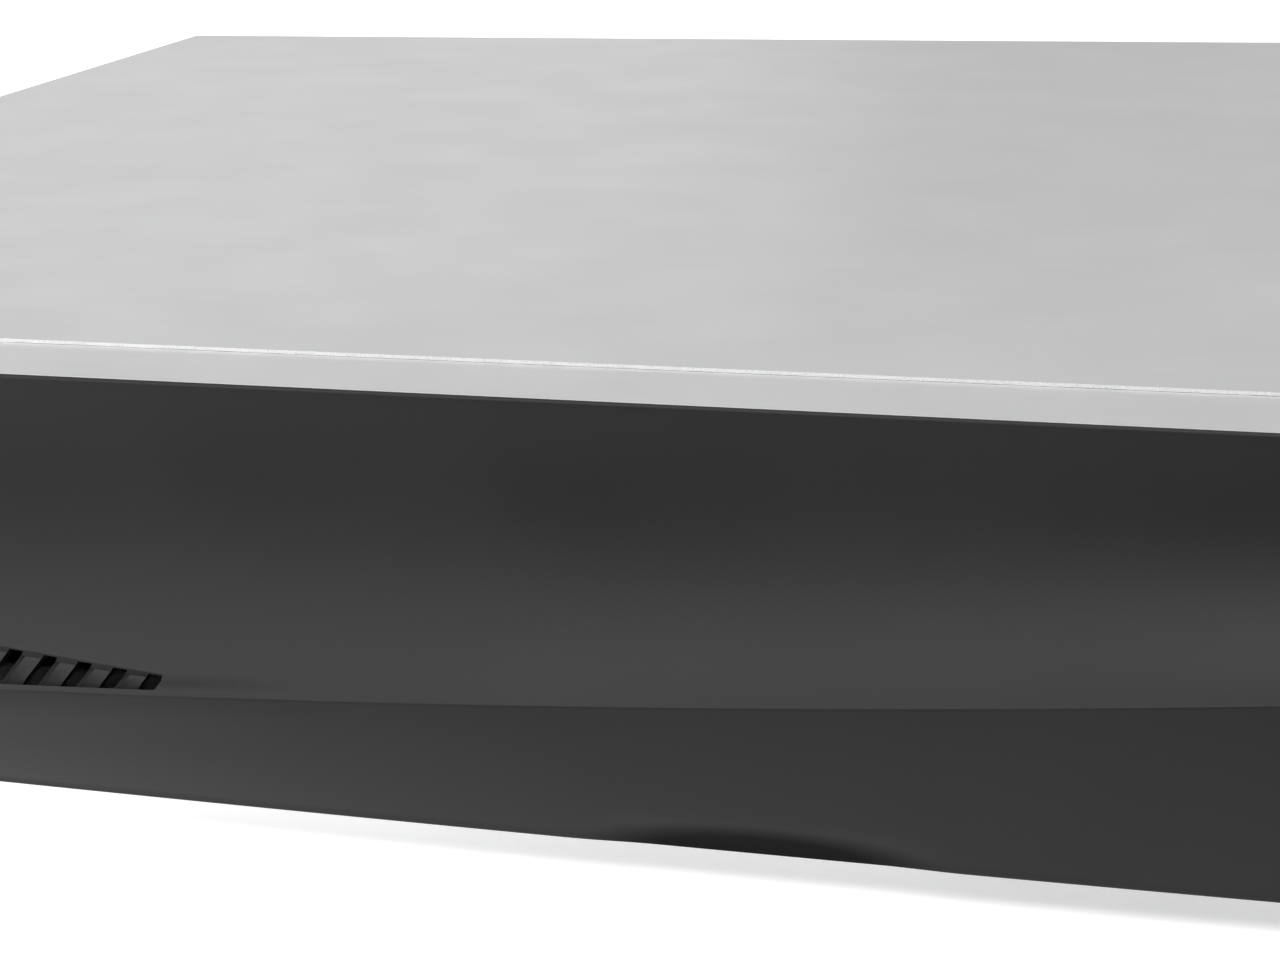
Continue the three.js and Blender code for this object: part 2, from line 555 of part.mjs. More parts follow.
function driveBase() {
  const half = DRIVE.width / 2;
  const block = box([DRIVE.x - half, DRIVE.x + half], [DRIVE.front, DRIVE_BACK], [DRIVE.bottom, DRIVE.top - 1]);
  const bay = box([DRIVE.x - half + 3, DRIVE.x + half - 3], [DRIVE.front + 3, DRIVE_BACK - 3], [DRIVE_FLOOR, DRIVE.top]);
  const boardBay = box([DRIVE.x - 41, DRIVE.x + 41], [DRIVE.front + 30, DRIVE_BACK + 1], [DRIVE.bottom - 1, 13.4]);
  const bosses = [rod('z', 5, 4, [...SPINDLE, DRIVE_FLOOR - 1]), rod('z', 4, 3.4, [...PIVOT, DRIVE_FLOOR - 1])];
  const screwHoles = DRIVE_SCREWS.map(([x, y]) => rod('z', SCREW_HOLE, 7.4, [x, y, DRIVE.bottom - 1], 8));
  return cut(join(cut(block, bay, boardBay), ...bosses), ...screwHoles);
}
piece('drive_base', driveBase(), castAluminium);
piece('drive_lid', box([DRIVE.x - 49, DRIVE.x + 49], [DRIVE.front + 1.8, DRIVE_BACK - 1.8],
  [DRIVE.top - 0.95, DRIVE.top + 0.1]), plainSteel);
piece('drive_board', join(
  box([DRIVE.x - 40, DRIVE.x + 40], [DRIVE.front + 32, DRIVE_BACK - 2], [10.6, 12]),
  box([DRIVE.x - 36, DRIVE.x + 8], [DRIVE_BACK - 8, DRIVE_BACK - 0.6], [10.8, 13])), circuitGreen);

const DISC_RADIUS = 46.5;
piece('drive_platters', turned('z', [
  [0, 0.3], [12, 0.3], [12, 2], [DISC_RADIUS, 2], [DISC_RADIUS, 3.3], [12, 3.3], [12, 5.4],
  [DISC_RADIUS, 5.4], [DISC_RADIUS, 6.7], [13, 6.7], [13, 8.6], [0, 8.6],
], [...SPINDLE, DRIVE_FLOOR + 3], 20), mirrorDisc);

// The arm is drawn pointing from its pivot to the parked place beside the discs.
const ARM_LENGTH = 52;
const PARKED = Math.atan2(SPINDLE[1] - PIVOT[1], SPINDLE[0] - PIVOT[0]) - THREE.MathUtils.degToRad(46);
function headArm() {
  const blade = [[-20, -9], [-6, -8], [0, -7], [ARM_LENGTH - 4, -2], [ARM_LENGTH, -1.6], [ARM_LENGTH, 1.6],
    [ARM_LENGTH - 4, 2], [0, 7], [-6, 8], [-20, 9]];
  const arm = join(prism('z', blade, [7.6, 8.8]), rod('z', 5.5, 9.7, [0, 0, 0.3]),
    box([ARM_LENGTH - 3, ARM_LENGTH], [-1.2, 1.2], [7.45, 8]));
  return arm.rotate(0, 0, THREE.MathUtils.radToDeg(PARKED)).translate(...PIVOT, DRIVE_FLOOR + 2.4);
}
piece('drive_head_arm', headArm(), castAluminium);

// ---- Cables inside the case: each is held at both ends ------------------------------------------------------
const DATA_PATH = [[DRIVE.x + 32, DRIVE_BACK + 1.3], [DRIVE.x + 35, DRIVE_BACK + 5], [-52, DRIVE_BACK + 6],
  [-43, DRIVE_BACK - 4], [-41.5, 132], [-34, 117], [-26, 114.6], [-22, 113.2]];
piece('drive_data_cable', band('z', DATA_PATH, 1.6, [13, 20], 20), redPlastic);
const powerPath = new THREE.CatmullRomCurve3([
  [DRIVE.x + 12, DRIVE_BACK + 2, 16], [DRIVE.x + 13, DRIVE_BACK + 7, 19], [-66, DRIVE_BACK + 8, 27],
  [-44, DRIVE_BACK + 3, 29], [-34, 150, 29], [-20, 132, 28], [-2, 118, 26], [2, 115.4, 21], [2, 114.6, 16],
].map((p) => new THREE.Vector3(...p)));
const cableSection = new THREE.Shape();
cableSection.absarc(0, 0, 1.8, 0, 2 * Math.PI);
piece('drive_power_cable', solid(new THREE.ExtrudeGeometry(cableSection,
  { steps: 18, curveSegments: 4, extrudePath: powerPath })), blackPlastic);

// ---- Case fan ---------------------------------------------------------------------------------------------
const FAN_BLADES = 7;
function fanFrame() {
  const inner = FAN_FACE - FAN.thickness;
  const reach = FAN.size / 2;
  const block = prism('x', roundedRect(FAN.y - reach, FAN.y + reach, FAN.z - reach, FAN.z + reach, 2),
    [inner, FAN_FACE]);
  const duct = rod('x', 13.8, FAN.thickness + 2, [inner - 1, FAN.y, FAN.z], 32);
  const hub = rod('x', 6.5, 1.4, [inner, FAN.y, FAN.z]);
  const struts = [0, 120, 240].map((turn) => box([0, 1.4], [-0.9, 0.9], [5, 14.4])
    .rotate(turn, 0, 0).translate(inner, FAN.y, FAN.z));
  return join(cut(block, duct), hub, ...struts);
}
function fanRotor() {
  const start = FAN_FACE - FAN.thickness + 1.8;
  const blade = box([-3.4, 3.4], [-0.5, 0.5], [5.4, 13]).rotate(0, 0, 38);
  const blades = Array.from({ length: FAN_BLADES }, (_, i) =>
    blade.rotate((360 * i) / FAN_BLADES, 0, 0).translate(start + 4, FAN.y, FAN.z));
  return join(rod('x', 6.4, 7.4, [start, FAN.y, FAN.z], 20), ...blades);
}
// An angle plate that carries the fan: its foot lies on the tray and its wall stands inside the tray's flange.
function fanBracket() {
  const wall = box([FAN_FACE + 0.05, FAN_FACE + 0.05 + SHEET], [FAN.y - 17, FAN.y + 17], [PLATE + 0.1, FAN.z + 15.4]);
  const foot = box([FAN_FACE - 12, FAN_FACE + SHEET], [FAN.y - 17, FAN.y + 17], [PLATE + 0.1, PLATE + 0.1 + SHEET]);
  return cut(join(wall, foot), rod('x', 13.6, 6, [FAN_FACE - 3, FAN.y, FAN.z], 24));
}
piece('fan_bracket', fanBracket(), plainSteel);
piece('fan_frame', fanFrame(), blackPlastic);
piece('fan_rotor', fanRotor(), blackPlastic);

// ---- Rear connectors ----------------------------------------------------------------------------------------
// A bayonet video jack: base on the board behind the wall, barrel with two lugs, centre contact in its bore.
const JACK_SEAT = REAR_WALL - SHEET - 0.25; // where the jacks meet the block that holds them
function videoJack([x, z]) {
  const tip = REAR_WALL + VIDEO_JACK_REACH - JACK_SEAT;
  const floor = tip - 8.5;
  const barrel = turned('y', [[0, 0], [6.2, 0], [6.2, 3.4], [4.9, 4.4], [4.9, tip - 0.6], [4.5, tip], [3.9, tip],
    [3.9, floor], [2.2, floor], [2.2, tip - 2.5], [0.7, tip - 2.5], [0.7, floor + 1.5], [0, floor + 1.5]],
  [x, JACK_SEAT, z], 12);
  const lugs = rod('z', 0.95, 12.6, [x, JACK_SEAT + tip - 3.6, z - 6.3], 6);
  const bore = rod('y', 4.3, 9, [x, JACK_SEAT + tip - 8.5, z], 12);
  return join(barrel, cut(lugs, bore));
}
// The body behind the wall that holds every round jack, lower where there is only one row of them.
const JACK_STEPS = [[[109.4, 144.6], 40], [[88, 110], 24.6], [[76, 89], 39]];
piece('jack_block', join(...JACK_STEPS.map(([xs, top]) =>
  box(xs, [212, JACK_SEAT - 0.05], [BOARD_TOP + 0.05, top]))), blackPlastic);
VIDEO_IN.forEach((at, i) => piece(`video_in_${i + 1}`, videoJack(at), platedMetal));
piece('video_out', videoJack(VIDEO_OUT), platedMetal);

function audioJack([x, z]) {
  const tip = 10.6;
  return turned('y', [[0, 0], [5, 0], [5, 2.2], [4.15, 2.6], [4.15, tip - 0.4], [3.8, tip], [1.6, tip],
    [1.6, 2.6], [0, 2.6]], [x, JACK_SEAT, z], 16);
}
piece('audio_in_jack', audioJack(AUDIO_IN), redPlastic);
piece('audio_out_jack', audioJack(AUDIO_OUT), whitePlastic);

function vgaPort([x, z]) {
  const shell = new THREE.Shape();
  const [wide, narrow, half] = [8.2, 7, 3.9];
  shell.moveTo(x - wide, z + half);
  shell.lineTo(x - narrow, z - half);
  shell.lineTo(x + narrow, z - half);
  shell.lineTo(x + wide, z + half);
  const nuts = [-12.5, 12.5].map((dx) =>
    cut(rod('y', 2.7, 5, [x + dx, REAR_WALL + 0.2, z], 6), rod('y', 1.3, 6, [x + dx, REAR_WALL + 1, z], 10)));
  const studs = [-12.5, 12.5].map((dx) => rod('y', 1.5, 4.4, [x + dx, REAR_WALL - 4, z], 10));
  const body = box([x - 15.4, x + 15.4], [REAR_WALL - 12, REAR_WALL - 1.4], [BOARD_TOP + 0.1, z + 6.3]);
  const socket = prism('y', shell, [REAR_WALL - 4, REAR_WALL + 5.6]);
  const contacts = [-1, 0, 1].flatMap((row) => spaced(-4.6, 4.6, 5).map((dx) =>
    box([x + dx + row * 0.55 - 0.45, x + dx + row * 0.55 + 0.45], [REAR_WALL + 4, REAR_WALL + 6],
      [z + row * 2.1 - 0.45, z + row * 2.1 + 0.45])));
  return cut(join(body, socket, ...nuts, ...studs), ...contacts);
}
piece('vga_port', vgaPort(VGA), bluePlastic);

function hdmiPort([x, z]) {
  const outline = (w, h, c) => [[x - w, z + h], [x - w, z - h + c], [x - w + c, z - h], [x + w - c, z - h],
    [x + w, z - h + c], [x + w, z + h]];
  const shell = prism('y', outline(7.6, 3, 1.9), [REAR_WALL - 11, REAR_WALL + 0.8]);
  const mouth = prism('y', outline(7, 2.4, 1.7), [REAR_WALL - 10, REAR_WALL + 2]);
  const tongue = box([x - 5.6, x + 5.6], [REAR_WALL - 10.5, REAR_WALL - 0.4], [z - 0.2, z + 0.9]);
  return join(cut(shell, mouth), tongue);
}
piece('hdmi_port', hdmiPort(HDMI), platedMetal);

const LAN_MOUTH = { width: 11.8, low: -4.6, high: 3, depth: 13 };
function lanPort([x, z]) {
  const front = REAR_WALL + 0.6;
  const body = box([x - 8, x + 8], [front - 18, front], [z - 6.8, z + 6.8]);
  const hollow = [front - LAN_MOUTH.depth, front + 1];
  const { width, low, high } = LAN_MOUTH;
  const mouth = box([x - width / 2, x + width / 2], hollow, [z + low, z + high]);
  return cut(body, mouth);
}
piece('lan_port', lanPort(LAN), platedMetal);

const rearUsb = [REAR_USB, REAR_WALL + 0.8, 14, 1];
piece('rear_usb_port', join(usbShell(...rearUsb), usbTongue(REAR_USB, REAR_WALL + 0.8, 14.5, 1)), platedMetal);

// Three-pole serial terminal: a fixed header with pins and a screw plug that pulls straight out.
const SERIAL_POLES = [-4.2, 0, 4.2];
function serialHeader([x, z]) {
  const body = box([x - 8.4, x + 8.4], [REAR_WALL - 12, REAR_WALL - 1.2], [z - 5.1, z + 5.1]);
  const bay = box([x - 7.4, x + 7.4], [REAR_WALL - 10, REAR_WALL], [z - 4.1, z + 4.1]);
  const pins = SERIAL_POLES.map((dx) => box([x + dx - 0.5, x + dx + 0.5], [REAR_WALL - 10.5, REAR_WALL - 4],
    [z - 0.5, z + 0.5]));
  return join(cut(body, bay), ...pins);
}
function serialPlug([x, z]) {
  const ys = [REAR_WALL - 9.6, REAR_WALL + 6];
  const body = box([x - 7.1, x + 7.1], ys, [z - 3.8, z + 3.8]);
  const pockets = SERIAL_POLES.flatMap((dx) => [
    box([x + dx - 0.8, x + dx + 0.8], [ys[0] - 1, REAR_WALL - 3.4], [z - 0.8, z + 0.8]),
    box([x + dx - 1.2, x + dx + 1.2], [REAR_WALL + 1, ys[1] + 1], [z - 2.6, z + 0.2]),
    rod('z', 1.25, 2.2, [x + dx, REAR_WALL + 3.4, z + 4.4], 10),
  ]);
  return cut(body, ...pockets);
}
piece('serial_terminal_header', serialHeader(SERIAL), greenPlastic);
piece('serial_terminal_plug', serialPlug(SERIAL), greenPlastic);

function powerJack([x, z]) {
  const body = box([x - 4.6, x + 4.6], [REAR_WALL - 14, REAR_WALL - 1.2], [BOARD_TOP + 0.1, z + 5]);
  const collar = rod('y', 4.3, 2.6, [x, REAR_WALL - 1.4, z], 20);
  const bore = rod('y', 3.1, 12, [x, REAR_WALL - 9, z], 20);
  const pin = rod('y', 1, 8.6, [x, REAR_WALL - 9.5, z], 10);
  return join(cut(join(body, collar), bore), pin);
}
piece('power_jack', powerJack(POWER_JACK), blackPlastic);

// ---- Power switch: a rocker that tips about a pin along x ---------------------------------------------------
const ROCKER = { halfWidth: 6.6, halfHeight: 4.6, tilt: 9 };
const ROCKER_AXIS = { y: REAR_WALL + 0.4, z: SWITCH[1] };
function switchHousing([x, z]) {
  const bezel = prism('y', roundedRect(x - 10.5, x + 10.5, z - 7.5, z + 7.5, 1), [REAR_WALL + 0.1, REAR_WALL + 2]);
  const body = box([x - 9.5, x + 9.5], [REAR_WALL - 14, REAR_WALL + 0.5], [z - 6.3, z + 6.3]);
  const well = box([x - ROCKER.halfWidth - 0.4, x + ROCKER.halfWidth + 0.4], [REAR_WALL - 6, REAR_WALL + 3],
    [z - 5.4, z + 5.4]);
  const tabs = [-5, 5].map((dx) => box([x + dx - 2.4, x + dx + 2.4], [REAR_WALL - 20, REAR_WALL - 13.5], [z - 0.4, z + 0.4]));
  return join(cut(join(bezel, body), well), ...tabs);
}
// The rocker's side view: two flat faces that meet in a shallow valley, above a half-round foot.
function switchRocker([x]) {
  const face = [[4.2, ROCKER.halfHeight], [1.9, 0], [4.2, -ROCKER.halfHeight]];
  const foot = spaced(-70, 70, 7).map((deg) => {
    const turn = THREE.MathUtils.degToRad(deg);
    return [-4.6 * Math.cos(turn), 4.6 * Math.sin(turn)];
  });
  const outline = [...face, ...foot];
  return prism('x', outline, [-ROCKER.halfWidth, ROCKER.halfWidth])
    .rotate(ROCKER.tilt, 0, 0).translate(x, ROCKER_AXIS.y, ROCKER_AXIS.z);
}
piece('switch_housing', switchHousing(SWITCH), blackPlastic);
piece('switch_rocker', switchRocker(SWITCH), blackPlastic);

// ---- Screws and feet ------------------------------------------------------------------------------------------
// Pan head against the sheet, shank through it. `outward` is the side of the sheet that the head is on.
function screw(axis, at, outward, length) {
  const profile = [[0, -length], [SCREW_RADIUS, -length], [SCREW_RADIUS, 0], [2.9, 0], [2.9, 0.8], [1.7, 1.8], [0, 1.9]];
  const shape = outward > 0 ? profile : profile.map(([r, h]) => [r, -h]).reverse();
  return turned(axis, shape, at, 8);
}
[-1, 1].forEach((side) => SIDE_SCREW_Y.forEach((y, i) =>
  piece(`cover_screw_${side < 0 ? 'left' : 'right'}_${i + 1}`,
    screw('x', [side * (HALF + 0.05), y, SIDE_SCREW_Z], side, 5.2), brightScrew)));
[-1, 1].forEach((side) => piece(`cover_screw_rear_${side < 0 ? 'left' : 'right'}`,
  screw('y', [side * REAR_SCREW_X, CASE_DEPTH + 0.05, REAR_SCREW_Z], 1, 5), brightScrew));
DRIVE_SCREWS.forEach(([x, y], i) => piece(`drive_screw_${i + 1}`,
  screw('z', [x, y, FOOT_HEIGHT - 0.05], -1, 10), brightScrew));
piece('ground_screw', screw('y', [GROUND[0], REAR_WALL + 0.05, GROUND[1]], 1, 6), brightScrew);

const FOOT_INSET = { x: 26, front: 22, rear: 24 };
const FEET = {
  front_left: [FOOT_INSET.x - HALF, FOOT_INSET.front],
  front_right: [HALF - FOOT_INSET.x, FOOT_INSET.front],
  rear_left: [FOOT_INSET.x - HALF, CASE_DEPTH - FOOT_INSET.rear],
  rear_right: [HALF - FOOT_INSET.x, CASE_DEPTH - FOOT_INSET.rear],
};
for (const [corner, [x, y]] of Object.entries(FEET)) {
  const profile = [[0, 0], [6.6, 0], [7.2, 0.6], [7.8, FOOT_HEIGHT - 0.05], [0, FOOT_HEIGHT - 0.05]];
  piece(`foot_${corner}`, turned('z', profile, [x, y, 0], 12), rubber);
}

recorder.position.y = -MIDDLE;
export default recorder;
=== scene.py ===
"""Looks of the desktop video recorder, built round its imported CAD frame.

Lengths in this file are millimetres, turned into metres by MM where a mesh, a light or the camera is made.
Depths called `reach` are counted forwards from the front plane of the steel case.
"""

import json
import math
import random

import bmesh
import bpy
from mathutils import Matrix, Vector


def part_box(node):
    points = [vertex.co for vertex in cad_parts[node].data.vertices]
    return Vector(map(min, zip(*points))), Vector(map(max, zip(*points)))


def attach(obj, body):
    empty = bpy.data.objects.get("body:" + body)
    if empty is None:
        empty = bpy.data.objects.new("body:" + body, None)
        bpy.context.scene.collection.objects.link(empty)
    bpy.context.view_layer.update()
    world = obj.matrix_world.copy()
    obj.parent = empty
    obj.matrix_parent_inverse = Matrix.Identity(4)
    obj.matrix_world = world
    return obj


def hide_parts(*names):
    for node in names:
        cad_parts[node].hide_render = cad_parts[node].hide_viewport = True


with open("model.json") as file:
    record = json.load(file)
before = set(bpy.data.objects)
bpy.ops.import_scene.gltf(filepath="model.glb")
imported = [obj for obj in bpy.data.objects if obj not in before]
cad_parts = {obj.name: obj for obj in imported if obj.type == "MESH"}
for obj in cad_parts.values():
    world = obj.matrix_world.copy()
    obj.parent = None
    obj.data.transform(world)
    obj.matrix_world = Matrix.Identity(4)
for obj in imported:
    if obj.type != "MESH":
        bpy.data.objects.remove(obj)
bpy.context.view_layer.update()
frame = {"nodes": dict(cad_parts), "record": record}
NODES = frame["nodes"]
MM = 0.001


# ---- Places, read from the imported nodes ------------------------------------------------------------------
def span(node):
    """Lowest and highest corner of a node in millimetres."""
    low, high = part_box(node)
    return low / MM, high / MM


def centre(node):
    low, high = span(node)
    return (low + high) / 2


CASE_LOW, CASE_HIGH = span("top_cover")
STEEL_Y = span("front_frame")[0].y  # front plane of the steel
REAR_Y = span("rear_panel")[1].y  # outer face of the rear panel
FASCIA_LOW, FASCIA_HIGH = span("front_fascia")
HALF = FASCIA_HIGH.x
TABLE_Z = span("foot_front_left")[0].z
LAMPS = [f"status_lens_{use}" for use in ("power", "disk", "network")]


# ---- Mesh helpers ----------------------------------------------------------------------------------------
def add_piece(name, shape, slot, body="case", replaces=(), edge=0.0, smooth=35.0):
    """A new object from (points, faces) in millimetres, riding on a body; `edge` rounds its sharp edges."""
    mesh = mesh_of(name, shape)
    smooth_by_angle(mesh, smooth)
    piece = bpy.data.objects.new(name, mesh)
    bpy.context.scene.collection.objects.link(piece)
    mesh.materials.append(LOOKS[slot])
    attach(piece, body)
    if replaces:
        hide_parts(*replaces)
    if edge:
        bevel(piece, edge)
    return piece


def mesh_of(name, shape):
    points, faces = shape
    mesh = bpy.data.meshes.new(name)
    mesh.from_pydata([Vector(p) * MM for p in points], [], faces)
    mesh.validate()
    work = bmesh.new()
    work.from_mesh(mesh)
    bmesh.ops.remove_doubles(work, verts=work.verts, dist=1e-7)
    bmesh.ops.recalc_face_normals(work, faces=work.faces)
    work.to_mesh(mesh)
    work.free()
    return mesh


def smooth_by_angle(mesh, degrees):
    mesh.shade_smooth()
    mesh.set_sharp_from_angle(angle=math.radians(degrees))


def bevel(piece, width, segments=2, angle=35.0):
    """Rounds the sharp edges of a piece or a CAD node with a modifier."""
    rounding = piece.modifiers.new("edge_rounding", "BEVEL")
    rounding.width = width * MM
    rounding.segments = segments
    rounding.limit_method = "ANGLE"
    rounding.angle_limit = math.radians(angle)
    rounding.harden_normals = True


def lathe(profile, at, axis, segments=48):
    """Turned solid. Its [radius, height] profile runs from axis to axis, or closes on itself as a ring."""
    quarter = math.pi / 2
    matrix = {"x": Matrix.Rotation(quarter, 3, "Y"), "y": Matrix.Rotation(-quarter, 3, "X"),
              "z": Matrix.Identity(3)}[axis]
    points, rings = [], []
    for radius, height in profile:
        if radius == 0:
            rings.append([len(points)] * segments)
            points.append(matrix @ Vector((0, 0, height)) + Vector(at))
            continue
        rings.append([len(points) + i for i in range(segments)])
        for a in turn_angles(segments):
            points.append(matrix @ Vector((radius * math.cos(a), radius * math.sin(a), height)) + Vector(at))
    faces = []
    pairs = list(zip(rings, rings[1:]))
    if profile[0][0] > 0:
        pairs.append((rings[-1], rings[0]))
    for low, high in pairs:
        for i in range(segments):
            j = (i + 1) % segments
            corners = [low[i], low[j], high[j], high[i]]
            unique = [c for k, c in enumerate(corners) if c not in corners[:k]]
            if len(unique) > 2:
                faces.append(unique)
    return points, faces


def merged(*parts):
    """Several (points, faces) pairs as one."""
    points, faces = [], []
    for part_points, part_faces in parts:
        shift = len(points)
        points += part_points
        faces += [[i + shift for i in face] for face in part_faces]
    return points, faces


def placed(shape, shift, turn=None):
    """A turned and shifted copy of a shape."""
    points, faces = shape
    matrix = turn or Matrix.Identity(3)
    return [matrix @ Vector(p) + Vector(shift) for p in points], faces


def block(xs, ys, zs):
    """Points and faces of a box; its edges are rounded later by bevel()."""
    points = [(x, y, z) for x in xs for y in ys for z in zs]
    faces = [(0, 1, 3, 2), (4, 6, 7, 5), (0, 4, 5, 1), (2, 3, 7, 6), (0, 2, 6, 4), (1, 5, 7, 3)]
    return points, faces


def around(middle, half):
    """Points and faces of a box from its middle and its half sizes."""
    return block(*[(at - reach, at + reach) for at, reach in zip(middle, half)])


def frustum(top_half, low_half, top, low):
    """Block that narrows from its top to its foot."""
    points = [(sx * half[0], sy * half[1], z) for half, z in ((top_half, top), (low_half, low))
              for sx, sy in ((-1, -1), (1, -1), (1, 1), (-1, 1))]
    faces = [[3, 2, 1, 0], [4, 5, 6, 7]] + [[i, (i + 1) % 4, (i + 1) % 4 + 4, i + 4] for i in range(4)]
    return points, faces


def prism(outline, near, far, axis="y"):
    """A closed outline extruded along an axis; its own two numbers are the other two axes, in order."""
    count = len(outline)

    def at(u, v, along):
        return {"x": (along, u, v), "y": (u, along, v), "z": (u, v, along)}[axis]

    points = [at(u, v, near) for u, v in outline] + [at(u, v, far) for u, v in outline]
    faces = [list(range(count)), list(range(2 * count - 1, count - 1, -1))]
    faces += [[i, i + count, (i + 1) % count + count, (i + 1) % count] for i in range(count)]
    return points, faces


def strip(path, thickness, x, width, z):
    """Flat bent strip of constant width along x, through a path of (y, height above z)."""
    half = thickness / 2
    outline = [(y, z + h + half) for y, h in path] + [(y, z + h - half) for y, h in reversed(path)]
    return prism(outline, x - width / 2, x + width / 2, "x")


def softened(sharp, radius, steps=4):
    """An outline with every corner rounded off by a short curve."""
    points = []
    for before, corner, after in zip(sharp[-1:] + sharp[:-1], sharp, sharp[1:] + sharp[:1]):
        before, corner, after = Vector(before), Vector(corner), Vector(after)
        start = corner + (before - corner).normalized() * radius
        end = corner + (after - corner).normalized() * radius
        for t in spaced(0, 1, steps + 1):
            points.append(tuple(start.lerp(corner, t).lerp(corner.lerp(end, t), t)))
    return points


def circle(x, z, radius, segments=48):
    return [(x + radius * math.cos(a), z + radius * math.sin(a)) for a in turn_angles(segments)]


def turn_angles(segments):
    return [2 * math.pi * i / segments for i in range(segments)]


def rounded(x0, x1, z0, z1, radius, steps=5):
    """Outline of a rectangle with round corners."""
    corners = ((x1 - radius, z1 - radius, 0), (x0 + radius, z1 - radius, 1),
               (x0 + radius, z0 + radius, 2), (x1 - radius, z0 + radius, 3))
    return [(x + radius * math.cos(a), z + radius * math.sin(a)) for x, z, quarter in corners
            for a in spaced(quarter * math.pi / 2, (quarter + 1) * math.pi / 2, steps)]


def carve(piece, tools, operation="DIFFERENCE"):
    """Applies a list of (points, faces) tools to a piece's mesh."""
    for shape in tools:
        tool = bpy.data.objects.new("tool", mesh_of("tool", shape))
        bpy.context.scene.collection.objects.link(tool)
        cut = piece.modifiers.new("cut", "BOOLEAN")
        cut.operation = operation
        cut.object = tool
        cut.solver = "EXACT"
        bpy.context.view_layer.update()
        evaluated = piece.evaluated_get(bpy.context.evaluated_depsgraph_get())
        mesh = bpy.data.meshes.new_from_object(evaluated)
        piece.modifiers.remove(cut)
        old = piece.data
        name = old.name
        piece.data = mesh
        bpy.data.meshes.remove(old)
        mesh.name = name
        bpy.data.objects.remove(tool)


def carved(shape, tool, operation="DIFFERENCE"):
    """The (points, faces) of a shape after one boolean with a tool."""
    body = bpy.data.objects.new("body", mesh_of("body", shape))
    bpy.context.scene.collection.objects.link(body)
    carve(body, [tool], operation)
    points = [v.co / MM for v in body.data.vertices]
    faces = [list(p.vertices) for p in body.data.polygons]
    bpy.data.objects.remove(body)
    return points, faces


def spaced(start, stop, count):
    return [start + (stop - start) * i / (count - 1) for i in range(count)]


def smoothstep(value, low, high):
    t = min(max((value - low) / (high - low), 0.0), 1.0)
    return t * t * (3 - 2 * t)


# ---- Material helpers ------------------------------------------------------------------------------------
class Recipe:
    """A material with one Principled shader. Node inputs take a number, a colour or another node's output."""

    def __init__(self, name, **constants):
        self.material = bpy.data.materials.new(name)
        self.material.use_nodes = True
        self.tree = self.material.node_tree
        self.shader = self.tree.nodes["Principled BSDF"]
        for socket, value in constants.items():
            self.shader.inputs[socket.replace("_", " ")].default_value = value
        self.place = self.node("ShaderNodeTexCoord").outputs["Object"]

    def node(self, kind, inputs=None, **settings):
        made = self.tree.nodes.new(kind)
        for setting, value in settings.items():
            setattr(made, setting, value)
        for socket, value in (inputs or {}).items():
            self.feed(made.inputs[socket], value)
        return made

    def feed(self, socket, value):
        if isinstance(value, bpy.types.NodeSocket):
            self.tree.links.new(value, socket)
        else:
            socket.default_value = value

    def noise(self, size, detail=3.0, roughness=0.55, stretch=None):
        """Fractal noise with features of `size` millimetres, drawn out along an axis by `stretch`."""
        where = self.place
        if stretch:
            scale = [1 / s for s in stretch]
            where = self.node("ShaderNodeMapping", {"Vector": where, "Scale": scale}).outputs[0]
        inputs = {"Vector": where, "Scale": 1 / (size * MM), "Detail": detail, "Roughness": roughness}
        return self.node("ShaderNodeTexNoise", inputs).outputs[0]

    def cells(self, size, feature="F1", output="Distance"):
        inputs = {"Vector": self.place, "Scale": 1 / (size * MM)}
        return self.node("ShaderNodeTexVoronoi", inputs, feature=feature).outputs[output]

    def ramp(self, value, low, high, to_low, to_high, smooth=False):
        inputs = {"Value": value, "From Min": low, "From Max": high, "To Min": to_low, "To Max": to_high}
        kind = "SMOOTHSTEP" if smooth else "LINEAR"
        return self.node("ShaderNodeMapRange", inputs, interpolation_type=kind).outputs[0]

    def mix(self, share, first, second):
        made = self.node("ShaderNodeMix", data_type="RGBA")
        self.feed(made.inputs["Factor"], share)
        self.feed(made.inputs[6], first)
        self.feed(made.inputs[7], second)
        return made.outputs[2]

    def sums(self, kind, first, second):
        return self.node("ShaderNodeMath", {0: first, 1: second}, operation=kind).outputs[0]

    def vectors(self, kind, first, second):
        return self.node("ShaderNodeVectorMath", {0: first, 1: second}, operation=kind).outputs[0]

    def bump(self, height, depth, strength=1.0, under=None):
        """Adds relief of `depth` millimetres, on top of an earlier relief if one is given."""
        inputs = {"Height": height, "Distance": depth * MM, "Strength": strength}
        if under is not None:
            inputs["Normal"] = under
        return self.node("ShaderNodeBump", inputs).outputs[0]

    def wear(self):
        """0 on flat stretches, 1 along outward edges that hands and tools rub."""
        round_edge = self.node("ShaderNodeBevel", {"Radius": 0.35 * MM}, samples=4).outputs[0]
        flat = self.node("ShaderNodeNewGeometry").outputs["Normal"]
        product = self.node("ShaderNodeVectorMath", {0: round_edge, 1: flat}, operation="DOT_PRODUCT")
        return self.ramp(product.outputs["Value"], 0.995, 0.93, 0.0, 1.0)

    def set(self, **links):
        for socket, value in links.items():
            self.feed(self.shader.inputs[socket.replace("_", " ")], value)
        return self.material


def grey(value, tint=0.0):
    return (value - tint / 2, value, value + tint, 1)


